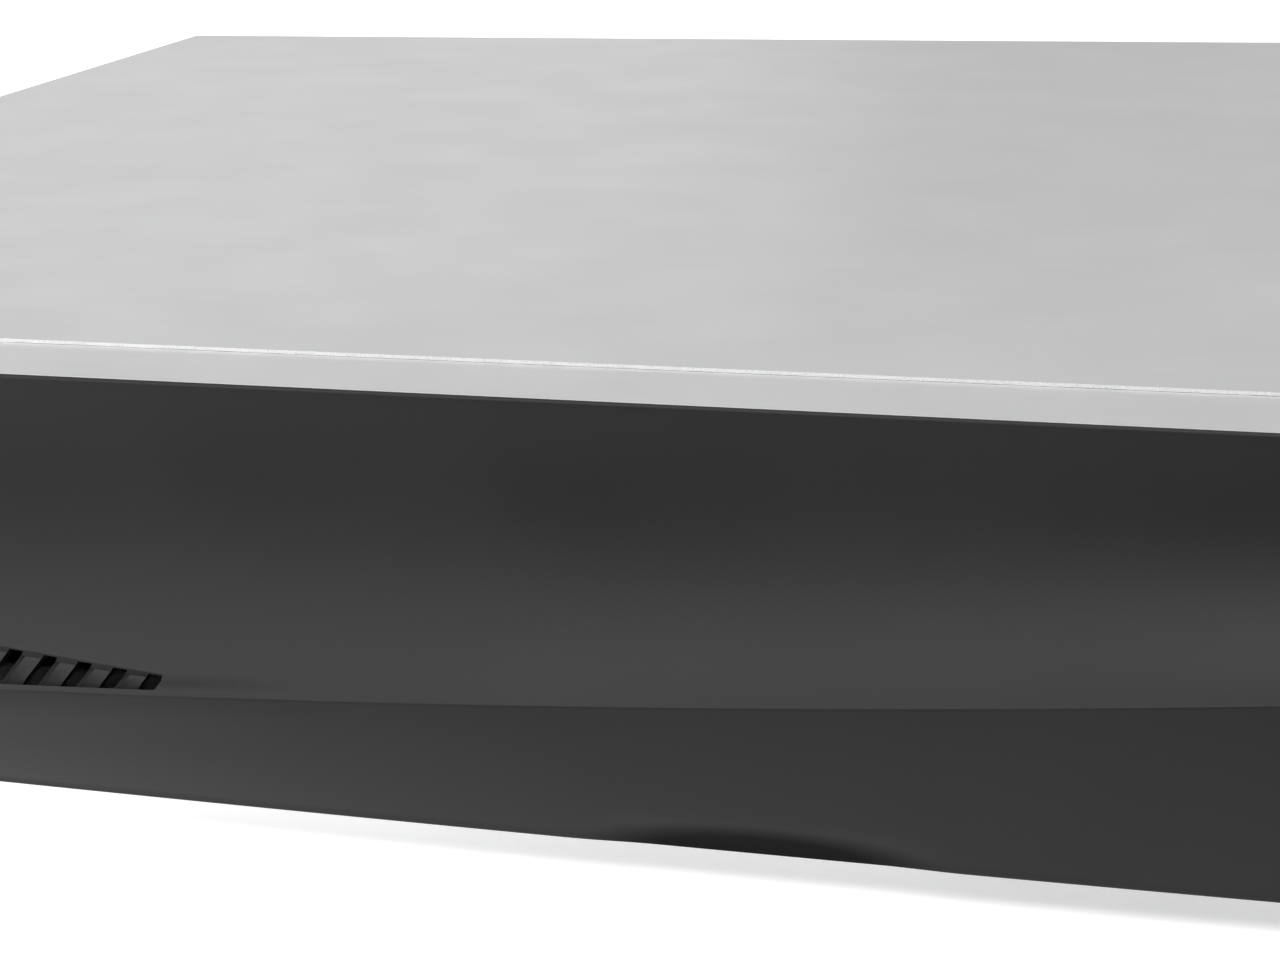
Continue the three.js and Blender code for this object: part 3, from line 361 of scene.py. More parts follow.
# ---- Materials -------------------------------------------------------------------------------------------
def case_paint():
    """Satin light grey coat: fine orange peel, faint rolled streaks and a thin smoother skin."""
    look = Recipe("case_paint", Metallic=0.25, Specular_IOR_Level=0.45, Coat_Weight=0.4, Coat_Roughness=0.12)
    mottle = look.noise(45, 3, 0.5)
    streaks = look.noise(2.5, 3, 0.6, stretch=(30, 1, 1))
    grain = look.noise(0.3, 2, 0.6)
    tone = look.mix(look.ramp(mottle, 0.3, 0.7, 0, 1), grey(0.475, 0.004), grey(0.495, 0.004))
    tone = look.mix(look.ramp(streaks, 0.35, 0.7, 0, 0.3), tone, grey(0.53, 0.004))
    tone = look.mix(look.ramp(grain, 0.35, 0.75, 0, 0.14), tone, grey(0.62))
    relief = look.bump(look.noise(1.6, 2), 0.012, 0.2)
    relief = look.bump(grain, 0.008, 0.3, relief)
    rough = look.ramp(look.noise(14, 3), 0.3, 0.7, 0.33, 0.39)
    return look.set(Base_Color=tone, Roughness=rough, Normal=relief)


def cut_steel():
    """Bare sheared edge, bright and a little torn."""
    look = Recipe("cut_steel", Metallic=0.5)
    torn = look.noise(0.12, 3, 0.6)
    tone = look.mix(look.ramp(torn, 0.3, 0.6, 0, 1), grey(0.72), grey(1.0))
    return look.set(Base_Color=tone, Roughness=0.4, Normal=look.bump(torn, 0.04))


def tray_steel():
    """Zinc-coated sheet: flat crystals of slightly different brightness under a thin haze."""
    look = Recipe("tray_steel", Metallic=0.9)
    crystal = look.cells(6, output="Color")
    shade = look.node("ShaderNodeSeparateColor", {"Color": crystal}).outputs[0]
    tone = look.mix(shade, grey(0.42, 0.006), grey(0.56, 0.01))
    haze = look.noise(2.2, 4)
    rough = look.sums("ADD", look.ramp(shade, 0, 1, 0.3, 0.42), look.ramp(haze, 0.3, 0.7, 0, 0.1))
    return look.set(Base_Color=tone, Roughness=rough, Normal=look.bump(haze, 0.02, 0.3))


SHADE = {"x": 10.0, "z": 4.0, "half_width": 17.5, "height": 3.6}  # painted shade: a soft dark, rough patch in the fascia's lower edge


def fascia_plastic():
    """Dark moulding: a fine spark-eroded grain, a few specks of dust, and a patch of painted shade in its
    lower edge.
    """
    look = Recipe("fascia_plastic", Specular_IOR_Level=0.2)
    grain = look.noise(0.22, 2, 0.6)
    cloud = look.noise(22, 3)
    dust = look.ramp(look.cells(9), 0.016, 0.01, 0, 0.5)
    dust = look.sums("MULTIPLY", dust, look.ramp(look.noise(40, 2), 0.52, 0.6, 0, 1))
    tone = look.mix(look.ramp(cloud, 0.3, 0.7, 0, 1), grey(0.009), grey(0.011))
    tone = look.mix(dust, tone, grey(0.16))
    # Painted shade: towards SHADE's middle the colour turns near black and the roughness rises, a soft dark
    # patch at the lower edge.
    centre_point = (SHADE["x"] * MM, STEEL_Y * MM, SHADE["z"] * MM)
    scale = (1 / (SHADE["half_width"] * MM), 0, 1 / (SHADE["height"] * MM))
    flat = look.vectors("MULTIPLY", look.vectors("SUBTRACT", look.place, centre_point), scale)
    far = look.node("ShaderNodeVectorMath", {0: flat}, operation="LENGTH").outputs["Value"]
    painted_shade = look.ramp(far, 1.0, 0.55, 0, 1)
    tone = look.mix(painted_shade, tone, grey(0.002))
    relief = look.bump(grain, 0.012, 0.5)
    rough = look.mix(painted_shade, look.ramp(cloud, 0.3, 0.7, 0.42, 0.47), grey(0.95))
    return look.set(Base_Color=tone, Roughness=rough, Normal=relief)


def moulded(name, colour, rough=0.42, grain=0.3):
    """Plain moulded plastic: fine grain, slightly uneven gloss, paler rubbed edges."""
    look = Recipe(name, Specular_IOR_Level=0.5)
    fine = look.noise(grain, 3)
    cloud = look.noise(7, 3)
    pale = tuple(min(1, c * 1.5 + 0.02) for c in colour[:3]) + (1,)
    tone = look.mix(look.ramp(cloud, 0.3, 0.7, 0, 0.22), colour, pale)
    tone = look.mix(look.sums("MULTIPLY", look.wear(), look.ramp(fine, 0.35, 0.65, 0.1, 0.5)), tone, pale)
    return look.set(Base_Color=tone, Roughness=look.ramp(cloud, 0.3, 0.7, rough - 0.05, rough + 0.08),
                    Normal=look.bump(fine, 0.015, 0.4))


def clear_lens():
    look = Recipe("lens_plastic", IOR=1.49, Transmission_Weight=0.75)
    ripple = look.noise(1.2, 2)
    tone = look.mix(look.ramp(ripple, 0.3, 0.7, 0, 1), (0.78, 0.84, 0.86, 1), (0.88, 0.92, 0.93, 1))
    return look.set(Base_Color=tone, Roughness=look.ramp(ripple, 0.3, 0.7, 0.06, 0.16),
                    Normal=look.bump(ripple, 0.01, 0.3))


def smoked_pane():
    look = Recipe("smoked_plastic", Coat_Weight=0.6, Coat_Roughness=0.05)
    cloud = look.noise(3, 3)
    tone = look.mix(look.ramp(cloud, 0.3, 0.7, 0, 1), (0.012, 0.004, 0.006, 1), (0.03, 0.008, 0.012, 1))
    return look.set(Base_Color=tone, Roughness=look.ramp(cloud, 0.3, 0.7, 0.1, 0.2))


def metal(name, colour, rough=0.25, brushed=None, scratch=0.4):
    """Plated or polished metal: fine scratches and finger haze."""
    look = Recipe(name, Metallic=1.0)
    lines = look.noise(0.25, 4, 0.6, stretch=brushed or (6, 1, 1))
    haze = look.noise(5, 4)
    dark = tuple(c * 0.8 for c in colour[:3]) + (1,)
    tone = look.mix(look.ramp(haze, 0.3, 0.75, 0, 1), colour, dark)
    shine = look.sums("ADD", look.ramp(haze, 0.3, 0.7, rough - 0.06, rough + 0.1),
                      look.ramp(lines, 0.4, 0.7, 0, 0.1))
    return look.set(Base_Color=tone, Roughness=shine, Normal=look.bump(lines, 0.006, scratch))


def circuit_board():
    """Solder mask over copper tracks, with drilled pads."""
    look = Recipe("circuit_board", Specular_IOR_Level=0.6)
    axes = look.node("ShaderNodeSeparateXYZ", {"Vector": look.place}).outputs
    lane_width, run_length = 1.3 * MM, 24 * MM
    runs = []
    for axis, other in (("X", "Y"), ("Y", "X")):
        lanes = look.sums("MULTIPLY", axes[other], 1 / lane_width)
        along = look.sums("MULTIPLY", axes[axis], 1 / run_length)
        where = look.node("ShaderNodeCombineXYZ", {"X": look.sums("FLOOR", lanes, 0), "Y": along}).outputs[0]
        drawn = look.node("ShaderNodeTexNoise", {"Vector": where, "Scale": 1.0, "Detail": 1.0}).outputs[0]
        from_middle = look.sums("ABSOLUTE", look.sums("SUBTRACT", look.sums("FRACT", lanes, 1.0), 0.5), 0)
        thin = look.ramp(from_middle, 0.16, 0.12, 0, 1)
        runs.append(look.sums("MULTIPLY", thin, look.ramp(drawn, 0.5, 0.53, 0, 1)))
    tracks = look.sums("MAXIMUM", runs[0], runs[1])
    pads = look.ramp(look.cells(3.2), 0.16, 0.13, 0, 1)
    tone = look.mix(tracks, (0.008, 0.075, 0.03, 1), (0.02, 0.16, 0.06, 1))
    tone = look.mix(pads, tone, (0.6, 0.58, 0.5, 1))
    return look.set(Base_Color=tone, Metallic=look.sums("MULTIPLY", pads, 0.9),
                    Roughness=look.ramp(look.noise(9, 3), 0.3, 0.7, 0.25, 0.4),
                    Normal=look.bump(look.sums("ADD", tracks, pads), 0.04, 0.6))


def foot_rubber():
    look = Recipe("foot_rubber", Specular_IOR_Level=0.3)
    fine = look.noise(0.4, 4, 0.65)
    dust = look.ramp(look.noise(3, 4), 0.55, 0.8, 0, 0.5)
    tone = look.mix(dust, grey(0.012), grey(0.05))
    return look.set(Base_Color=tone, Roughness=look.ramp(fine, 0.3, 0.7, 0.7, 0.9),
                    Normal=look.bump(fine, 0.05, 0.6))


LOOKS = {
    "case_paint": case_paint(),
    "cut_steel": cut_steel(),
    "tray_steel": tray_steel(),
    "fascia_plastic": fascia_plastic(),
    "lens_plastic": clear_lens(),
    "smoked_plastic": smoked_pane(),
    "black_plastic": moulded("black_plastic", (0.012, 0.0125, 0.014, 1)),
    "white_plastic": moulded("white_plastic", (0.72, 0.71, 0.66, 1)),
    "ribbon_plastic": moulded("ribbon_plastic", (0.42, 0.42, 0.41, 1)),
    "red_plastic": moulded("red_plastic", (0.38, 0.018, 0.015, 1)),
    "amber_plastic": moulded("amber_plastic", (0.5, 0.2, 0.01, 1)),
    "blue_plastic": moulded("blue_plastic", (0.015, 0.05, 0.26, 1)),
    "green_plastic": moulded("green_plastic", (0.015, 0.2, 0.06, 1)),
    "cable_red": moulded("cable_red", (0.42, 0.012, 0.012, 1), 0.35, 0.8),
    "cable_black": moulded("cable_black", (0.01, 0.01, 0.011, 1), 0.5, 0.6),
    "plated_metal": metal("plated_metal", (0.66, 0.64, 0.6, 1), 0.24),
    "gold_contact": metal("gold_contact", (0.83, 0.6, 0.25, 1), 0.22),
    "screw_steel": metal("screw_steel", (0.62, 0.62, 0.6, 1), 0.3, (1, 1, 1)),
    "sink_aluminium": metal("sink_aluminium", (0.7, 0.71, 0.72, 1), 0.34, (1, 12, 1)),
    "drive_casting": metal("drive_casting", (0.5, 0.51, 0.52, 1), 0.45, (1, 1, 1), 0.8),
    "drive_lid_steel": metal("drive_lid_steel", (0.66, 0.67, 0.68, 1), 0.3, (14, 1, 1)),
    "disc_mirror": metal("disc_mirror", (0.86, 0.86, 0.86, 1), 0.1, (1, 1, 1), 0.05),
    "circuit_board": circuit_board(),
    "foot_rubber": foot_rubber(),
}

SLOT_OF = {row["node"]: row["material_slot"] for row in frame["record"]["subparts"]}
EDGE_ROUNDING = {  # millimetres, by material slot, for the CAD nodes that stay
    "case_paint": 0.12, "tray_steel": 0.12, "plated_metal": 0.12, "sink_aluminium": 0.15,
    "drive_casting": 0.4, "drive_lid_steel": 0.3, "black_plastic": 0.2, "white_plastic": 0.15,
    "blue_plastic": 0.2, "green_plastic": 0.2,
}


def dress_cad_nodes():
    for name, node in NODES.items():
        slot = SLOT_OF[name]
        node.data.materials.clear()
        node.data.materials.append(LOOKS[slot])
        smooth_by_angle(node.data, 32)
        if slot in EDGE_ROUNDING:
            bevel(node, EDGE_ROUNDING[slot])


dress_cad_nodes()


# ---- Fascia ----------------------------------------------------------------------------------------------
NOSE_REACH = STEEL_Y - FASCIA_LOW.y
CHIN_REACH = 5.1
BOW = 3.1  # how much less the fascia reaches forwards at its ends
SWEEP = 2.12  # power of the hollow curve between the upper edge and the crease
LIP_SWEEP = 1.35  # the same for the rounded lip below it
WALL = 2.4
BEHIND = 0.03  # reach of its open rear edge
SCOOP = {"from": -8.0, "to": 29.0, "ease": 8.0, "height": 4.0, "depth": 0.35}
CREASE = {"height": 19.3, "slope": 0.0688, "bend": 0.000216, "straight_from": 60.0}  # height is at x = 0
CREST = 0.3  # size of the small round along the crease
CREST_BACK = 0.12  # how far the hollow's end lies behind the nose
LIP_BACK = 0.05  # the same for the start of the lip
HOLLOW_SPACING = 1.6  # above 1 the steps of the hollow lie closer towards the crease
TOP_EDGE = 0.7  # radius of its upper front edge, which starts at TOP_TURN from upright
TOP_TURN = math.radians(40)
TOP_REACH = BEHIND + TOP_EDGE * (1 - math.sin(TOP_TURN))
TOP_FALL = TOP_EDGE * math.cos(TOP_TURN)
CHIN_EDGE = 0.35  # radius of its lower front edge
# Proud bead under the air slots: full up to the slots' floor, then faded into the face above.
RIDGE = {"stand": 0.32, "crown": 0.62, "height": 1.9, "full_until": -47.0, "gone_at": -26.0}
RIDGE_BELOW = {"share": 0.7, "height": 5}  # the part of it that shows below the crease


def bow(x):
    return BOW * (x / (HALF + 0.2)) ** 2


def crease_height(x):
    """Height of the crease at x: it bends upwards, then runs on straight."""
    limit = CREASE["straight_from"]
    bent = x * x if x < limit else limit * (2 * x - limit)
    return CREASE["height"] + CREASE["slope"] * x + CREASE["bend"] * bent


def scoop_share(x):
    rise = smoothstep(x, SCOOP["from"], SCOOP["from"] + SCOOP["ease"])
    return rise * (1 - smoothstep(x, SCOOP["to"] - SCOOP["ease"], SCOOP["to"]))


def ridge_share(x):
    return 1 - smoothstep(x, RIDGE["full_until"], RIDGE["gone_at"])


def fascia_profile(x, beaded=True, hollow_steps=44, crest_steps=6, lip_steps=18, edge_steps=6):
    """[reach, z] down the outside at x, from the upper edge to the lower edge, with every corner rounded."""
    top, bottom = FASCIA_HIGH.z, FASCIA_LOW.z
    crease = crease_height(x)
    nose = NOSE_REACH - bow(x)
    chin = CHIN_REACH - bow(x)
    stand = RIDGE["stand"] * ridge_share(x) * beaded
    stand_below = RIDGE_BELOW["share"] * stand
    start, end = top - TOP_FALL, crease + CREST * 0.55
    under = crease - CREST * 0.75

    def hollow(t):
        t = 1 - (1 - t) ** HOLLOW_SPACING
        z = start + (end - start) * t
        bead = stand * (1 - smoothstep(z - crease, RIDGE["crown"], RIDGE["height"]))
        return min(TOP_REACH + (nose - CREST_BACK - TOP_REACH) * t ** SWEEP + bead, NOSE_REACH), z

    def lip(t):
        z = under + (bottom + CHIN_EDGE - under) * t
        sunk = smoothstep(bottom + SCOOP["height"] - z, 0, SCOOP["height"])
        reach = nose - LIP_BACK + (chin - nose + LIP_BACK) * t ** LIP_SWEEP
        bead = stand_below * (1 - smoothstep(crease - z, 0, RIDGE_BELOW["height"]))
        return min(reach + bead, NOSE_REACH) - SCOOP["depth"] * sunk * scoop_share(x), z

    upper = [(TOP_REACH - TOP_EDGE + TOP_EDGE * math.sin(a), top - TOP_FALL + TOP_EDGE * math.cos(a))
             for a in spaced(TOP_TURN, math.pi / 2, edge_steps)][:-1]
    face = [hollow(t) for t in spaced(0, 1, hollow_steps)]
    last, first = face[-1], lip(0)
    crest_curve = []
    for t in spaced(0, 1, crest_steps)[1:-1]:
        corner = (min(nose + stand_below, NOSE_REACH), crease + 0.1 * CREST)
        a = [last[i] + (corner[i] - last[i]) * t for i in (0, 1)]
        b = [corner[i] + (first[i] - corner[i]) * t for i in (0, 1)]
        crest_curve.append((a[0] + (b[0] - a[0]) * t, a[1] + (b[1] - a[1]) * t))
    lower_face = [lip(t) for t in spaced(0, 1, lip_steps)]
    chin_reach = lower_face[-1][0]
    lower = [(chin_reach - CHIN_EDGE + CHIN_EDGE * math.cos(a), bottom + CHIN_EDGE - CHIN_EDGE * math.sin(a))
             for a in spaced(0, math.pi / 2, edge_steps)][1:]
    return upper + face + crest_curve + lower_face + lower


def fascia_loft(stations, profile_of):
    """Closed skin through one closed outline per x station."""
    outlines = [profile_of(x) for x in stations]
    count = len(outlines[0])
    points = [(x, STEEL_Y - reach, z) for x, outline in zip(stations, outlines) for reach, z in outline]
    faces = [list(range(count)), [len(points) - 1 - i for i in range(count)]]
    for s in range(len(stations) - 1):
        for i in range(count):
            j = (i + 1) % count
            faces.append([s * count + i, (s + 1) * count + i, (s + 1) * count + j, s * count + j])
    return points, faces


def outside(x):
    return fascia_profile(x) + [(BEHIND, FASCIA_LOW.z)]


def inside(x):
    """Outline of the hollow behind the fascia's wall, open to the rear past the steel's front plane."""
    rear, hair = -2, 0.001
    low, high = FASCIA_LOW.z + WALL, FASCIA_HIGH.z - WALL
    face = [(max(reach - WALL, rear + 0.1), min(max(z, low), high)) for reach, z in fascia_profile(x)[::3]]
    return [(rear, high + hair)] + face + [(rear, low - hair)]


# Wedge of air slots from its tip to its far end, and the slots' first place, pitch, width and lean.
VENT = {"tip": -46.6, "end": -145.0, "first": 2.4, "pitch": 4.1, "slot": 1.6, "lean": 0.72}
VENT_ROOF = {"start": 1.8, "slope": 0.058, "bend": 0.0003}  # height over the crease at the tip, and its rise
SLOT_COUNT = 23
THROUGH_FASCIA = (STEEL_Y - 20, STEEL_Y + 3)  # y range of a tool that cuts right through
LAMP_HOLE = 1.62  # radius
PAD_DEPTH = 0.5  # how far the pads between the slots lie behind the face
PAD_EDGE = {"side": 0.65, "low": 0.35, "fall": 0.5}  # the soft slope round a pad's left and lower edges
ROOF_BAND = 0.7  # height of the slope from the face down to the pads
ROOF_BAND_SHARE = 0.45  # most of the wedge's height that this slope may take near the tip
FLOOR_DEPTH = 1.1  # how far the wedge's back lies behind the face
SLOT_LIP = 0.3  # thickness left between the slots and the bead
FLOOR_FALL = 0.5  # how steeply its floor falls away behind the bead
SLOT_PAST = {"floor": 0.65, "roof": 0.2}  # the slots reach below the wedge's floor and stop short of its roof
PAD_FOOT = {"floor": 0.8, "slope": 0.75, "roof": 0.1, "buried": 0.5}  # how deep the pads are sunk
PAD_GAP = 0.03  # between a pad and the slots beside it


def vent_floor(x):
    return crease_height(x) + RIDGE["crown"]


def vent_roof(x):
    run = VENT["tip"] - x
    rise = VENT_ROOF["start"] + VENT_ROOF["slope"] * run + VENT_ROOF["bend"] * run * run
    return crease_height(VENT["tip"]) + rise


def pad_roof(x):
    """Where the slope down from the roof meets the pads."""
    low, high = vent_floor(x), vent_roof(x)
    return high - min(ROOF_BAND, ROOF_BAND_SHARE * (high - low))


def plain_reach(x, z):
    """How far the fascia's outside, without the bead, stands in front of the steel at (x, z)."""
    face = fascia_profile(x, beaded=False)
    for (reach_a, z_a), (reach_b, z_b) in zip(face, face[1:]):
        if z_b <= z <= z_a and z_a > z_b:
            return reach_a + (reach_b - reach_a) * (z_a - z) / (z_a - z_b)
    return CHIN_REACH - bow(x)


def vent_recess():
    """Tool for the wedge: its mouth is the full wedge, then its roof slopes down to the pads' level."""
    xs = spaced(VENT["tip"], VENT["end"], 50)
    rows = 7
    before, at_face = -0.6, -0.02  # depths in front of the face
    levels = ((before, vent_roof), (at_face, vent_roof), (PAD_DEPTH, pad_roof), (FLOOR_DEPTH, pad_roof))
    points, faces = [], []
    for depth, roof_of in levels:
        for x in xs:
            for z in spaced(vent_floor(x) - FLOOR_FALL * (depth + RIDGE["stand"]), roof_of(x), rows):
                points.append((x, STEEL_Y - plain_reach(x, z) + depth, z))
    layer = len(xs) * rows
    last = (len(levels) - 1) * layer
    for i in range(len(xs) - 1):
        for a in range(i * rows, i * rows + rows - 1):
            faces.append([a, a + 1, a + rows + 1, a + rows])
            faces.append([last + a, last + a + rows, last + a + rows + 1, last + a + 1])
    for front in range(0, last, layer):
        back = front + layer
        for i in range(len(xs) - 1):
            for a in (i * rows, i * rows + rows - 1):
                faces.append([front + a, front + a + rows, back + a + rows, back + a])
        for i in (0, len(xs) - 1):
            for a in range(i * rows, i * rows + rows - 1):
                faces.append([front + a, back + a, back + a + 1, front + a + 1])
    return points, faces


def moved(edge_of, rise):
    """An edge of the wedge, raised."""
    return lambda x: edge_of(x) + rise


def leaning_outline(index, left, right, low_of, high_of):
    """Four corners of a slot, or of the pad on its left, between two edges of the wedge."""
    start = VENT["tip"] - VENT["first"] - VENT["pitch"] * index

    def corner(offset, edge_of):
        x = start + offset
        for _ in range(4):
            x = start + offset + VENT["lean"] * (edge_of(x) - vent_floor(start))
        return x, edge_of(x)

    return [corner(left, low_of), corner(right, low_of), corner(right, high_of), corner(left, high_of)]


def slot_tool(index):
    """Starts behind the bead, so that the slot can reach down past it."""
    floor, roof = moved(vent_floor, -SLOT_PAST["floor"]), moved(vent_roof, -SLOT_PAST["roof"])
    outline = leaning_outline(index, 0.0, VENT["slot"], floor, roof)
    x, z = outline[0]
    return prism(outline, STEEL_Y - plain_reach(x, z) + SLOT_LIP, THROUGH_FASCIA[1])


def pad(index):
    """Raised pad between two slots, sloped down at its left and lower edges; its top runs into the roof."""
    left, right = VENT["slot"] - VENT["pitch"] + PAD_GAP, -PAD_GAP
    top = moved(pad_roof, PAD_FOOT["roof"])
    levels = [  # depth, left edge, height over the wedge's floor
        (FLOOR_DEPTH + PAD_FOOT["buried"], left, -PAD_FOOT["floor"]),
        (PAD_DEPTH + PAD_EDGE["fall"], left, -PAD_FOOT["slope"]),
        (PAD_DEPTH, left + PAD_EDGE["side"], PAD_EDGE["low"]),
    ]
    points = []
    for depth, edge, rise in levels:
        for x, z in leaning_outline(index, edge, right, moved(vent_floor, rise), top):
            points.append((x, STEEL_Y - plain_reach(x, z) + depth, z))
    faces = [[3, 2, 1, 0], [8, 9, 10, 11]]
    for ring in (0, 4):
        faces += [[ring + i, ring + (i + 1) % 4, ring + 4 + (i + 1) % 4, ring + 4 + i] for i in range(4)]
    return points, faces


def front_holes():
    """Tools for the lamp holes, the infrared window and the front socket."""
    tools = []
    for node in LAMPS:
        at = centre(node)
        tools.append(prism(circle(at.x, at.z, LAMP_HOLE, 24), *THROUGH_FASCIA))
    for node, margin, radius in (("infrared_window", 0.12, 2.5), ("front_usb_shell", 0.3, 0.7)):
        low, high = span(node)
        outline = rounded(low.x - margin, high.x + margin, low.z - margin, high.z + margin, radius)
        tools.append(prism(outline, *THROUGH_FASCIA))
    return merged(*tools)


def build_fascia():
    stations = spaced(-HALF, -70, 24) + spaced(-66, 62, 65) + spaced(66, HALF, 24)  # closest near the middle
    piece = add_piece("fascia_moulding", fascia_loft(stations, outside), "fascia_plastic",
                      replaces=["front_fascia"])
    shrink = 1 - WALL / HALF
    carve(piece, [fascia_loft([x * shrink for x in stations[::2]], inside), vent_recess()])
    carve(piece, [merged(*[slot_tool(i) for i in range(SLOT_COUNT)]), front_holes()])
    carve(piece, [merged(*[pad(i) for i in range(SLOT_COUNT)])], "UNION")
    smooth_by_angle(piece.data, 28)
    return piece


build_fascia()


# ---- Cover's cut edge --------------------------------------------------------------------------------------
BURR = {"steps": 900, "height": 0.34, "gap": 0.004}  # the gap keeps its flat back just below the top
# Least, most, and the steps from one aim to the next.
BURR_REACH, BURR_LIFT, BURR_WIDTH = (0.03, 0.08, 4), (0.0, 0.02, 5), (0.02, 0.1, 7)


def build_cut_edge():
    """Ragged bright burr that the shear left along the top of the cover's front edge."""
    draw = random.Random(5)
    front, top = CASE_LOW.y, CASE_HIGH.z
    half = CASE_HIGH.x - 2.2  # stops where the fold's curve starts
    steps, height, gap = BURR["steps"], BURR["height"], BURR["gap"]

    def ragged(low, high, every):
        """Values that wander between two limits, with a new aim at every few steps."""
        aims = [low + (high - low) * draw.random() for _ in range(steps // every + 2)]
        return [aims[i // every] + (aims[i // every + 1] - aims[i // every]) * (i % every) / every
                for i in range(steps)]

    reaches, lifts, widths = ragged(*BURR_REACH), ragged(*BURR_LIFT), ragged(*BURR_WIDTH)
    points, faces = [], []
    for i, x in enumerate(spaced(-half, half, steps)):
        reach, lift, width = reaches[i], lifts[i], widths[i]
        section = [(-reach, -height), (-reach * 0.6, -lift), (0.02, -gap), (width, -gap), (width, -height)]
        points += [(x, front + y, top + z) for y, z in section]
        if i:
            a = (i - 1) * 5
            faces += [[a + k, a + 5 + k, a + 5 + (k + 1) % 5, a + (k + 1) % 5] for k in range(5)]
    faces += [[0, 1, 2, 3, 4], [len(points) - 1 - k for k in range(5)]]
    add_piece("cover_cut_edge", (points, faces), "cut_steel", smooth=20)


# ---- Screws and feet ---------------------------------------------------------------------------------------
HEAD = {"radius": 2.9, "wall": 0.7, "height": 1.9}
THREAD_PITCH = 0.5


def screw_shape(length):
    """Pan head with a cross recess above z = 0 and a threaded shank below it."""
    turns = int(length / THREAD_PITCH)
    thread = [(0, -length)]
    for i in range(turns):
        foot = -length + i * THREAD_PITCH
        thread += [(1.25, foot + 0.05), (1.5, foot + THREAD_PITCH / 2)]
    dome = [(HEAD["radius"] * math.cos(a), HEAD["wall"] + (HEAD["height"] - HEAD["wall"]) * math.sin(a))
            for a in spaced(0, math.pi / 2, 9)]
    head = [(1.25, 0), (HEAD["radius"] - 0.1, 0), (HEAD["radius"], 0.12)] + dome[:-1] + [(0, HEAD["height"])]
    body = lathe(thread + head, (0, 0, 0), "z", 40)
    arms = [frustum((1.75, 0.42), (0.7, 0.3), HEAD["height"] + 0.1, 0.55),
            frustum((0.42, 1.75), (0.3, 0.7), HEAD["height"] + 0.1, 0.55)]
    return carved(carved(body, arms[0]), arms[1])


def build_screws():
    draw = random.Random(11)
    kinds = [("cover_screw_left_1", (-1, 0, 0)), ("cover_screw_left_2", (-1, 0, 0)),
             ("cover_screw_right_1", (1, 0, 0)), ("cover_screw_right_2", (1, 0, 0)),
             ("cover_screw_rear_left", (0, 1, 0)), ("cover_screw_rear_right", (0, 1, 0)),
             ("ground_screw", (0, 1, 0))]
    kinds += [(f"drive_screw_{i}", (0, 0, -1)) for i in (1, 2, 3, 4)]
    shapes = {}
    for node, way in kinds:
        low, high = span(node)
        out = Vector(way)
        length = abs((high - low).dot(out))
        shank = round(length - HEAD["height"], 1)
        if shank not in shapes:
            shapes[shank] = screw_shape(shank)
        seat = centre(node) + out * (length / 2 - HEAD["height"])
        spun = placed(shapes[shank], (0, 0, 0), Matrix.Rotation(draw.uniform(0, math.pi), 3, "Z"))
        facing = Vector((0, 0, 1)).rotation_difference(out).to_matrix()
        add_piece(f"{node}_turned", placed(spun, seat, facing), "screw_steel", replaces=[node], smooth=40)


def build_feet():
    """Moulded feet with two grip grooves in the sole."""
    for corner in ("front_left", "front_right", "rear_left", "rear_right"):
        node = f"foot_{corner}"
        low, high = span(node)
        at = centre(node)
        height = high.z - low.z
        grooves = []
        for radius in (2.8, 4.8):
            grooves += [(radius, 0), (radius + 0.15, 0.35), (radius + 0.65, 0.35), (radius + 0.8, 0)]
        side = [(6.5, 0), (6.68, 0.06), (6.85, 0.25), (7.05, 0.7), (7.7, height - 0.35),
                (7.75, height - 0.15), (7.6, height), (0, height)]
        shape = lathe([(0, 0)] + grooves + side, (at.x, at.y, low.z), "z", 72)
        add_piece(f"{node}_moulded", shape, "foot_rubber", replaces=[node], smooth=40)


# ---- Rear panel --------------------------------------------------------------------------------------------
def rear_axis(node, below_top=None):
    """[x, z] of a rear connector's axis: the middle of its node, or so far below the node's top."""
    at = centre(node)
    return at.x, at.z if below_top is None else span(node)[1].z - below_top


VIDEO_JACKS = ["video_in_1", "video_in_2", "video_in_3", "video_in_4", "video_out"]
AUDIO_JACKS = {"audio_in_jack": "red_plastic", "audio_out_jack": "white_plastic"}
VGA_TOP, POWER_TOP = 6.3, 5.0  # from those connectors' axes to the top of their bodies
PANEL_WINDOWS = {  # width, height and corner radius
    "hdmi_port": (15.8, 6.6, 0.8), "lan_port": (16.6, 14.2, 0.6), "rear_usb_port": (14, 7.2, 0.6),
    "serial_terminal_header": (17.6, 11, 0.6), "switch_housing": (19.6, 13.2, 0.8),
}
VGA_NUT = 12.5  # from the middle of the VGA port to each of its nuts


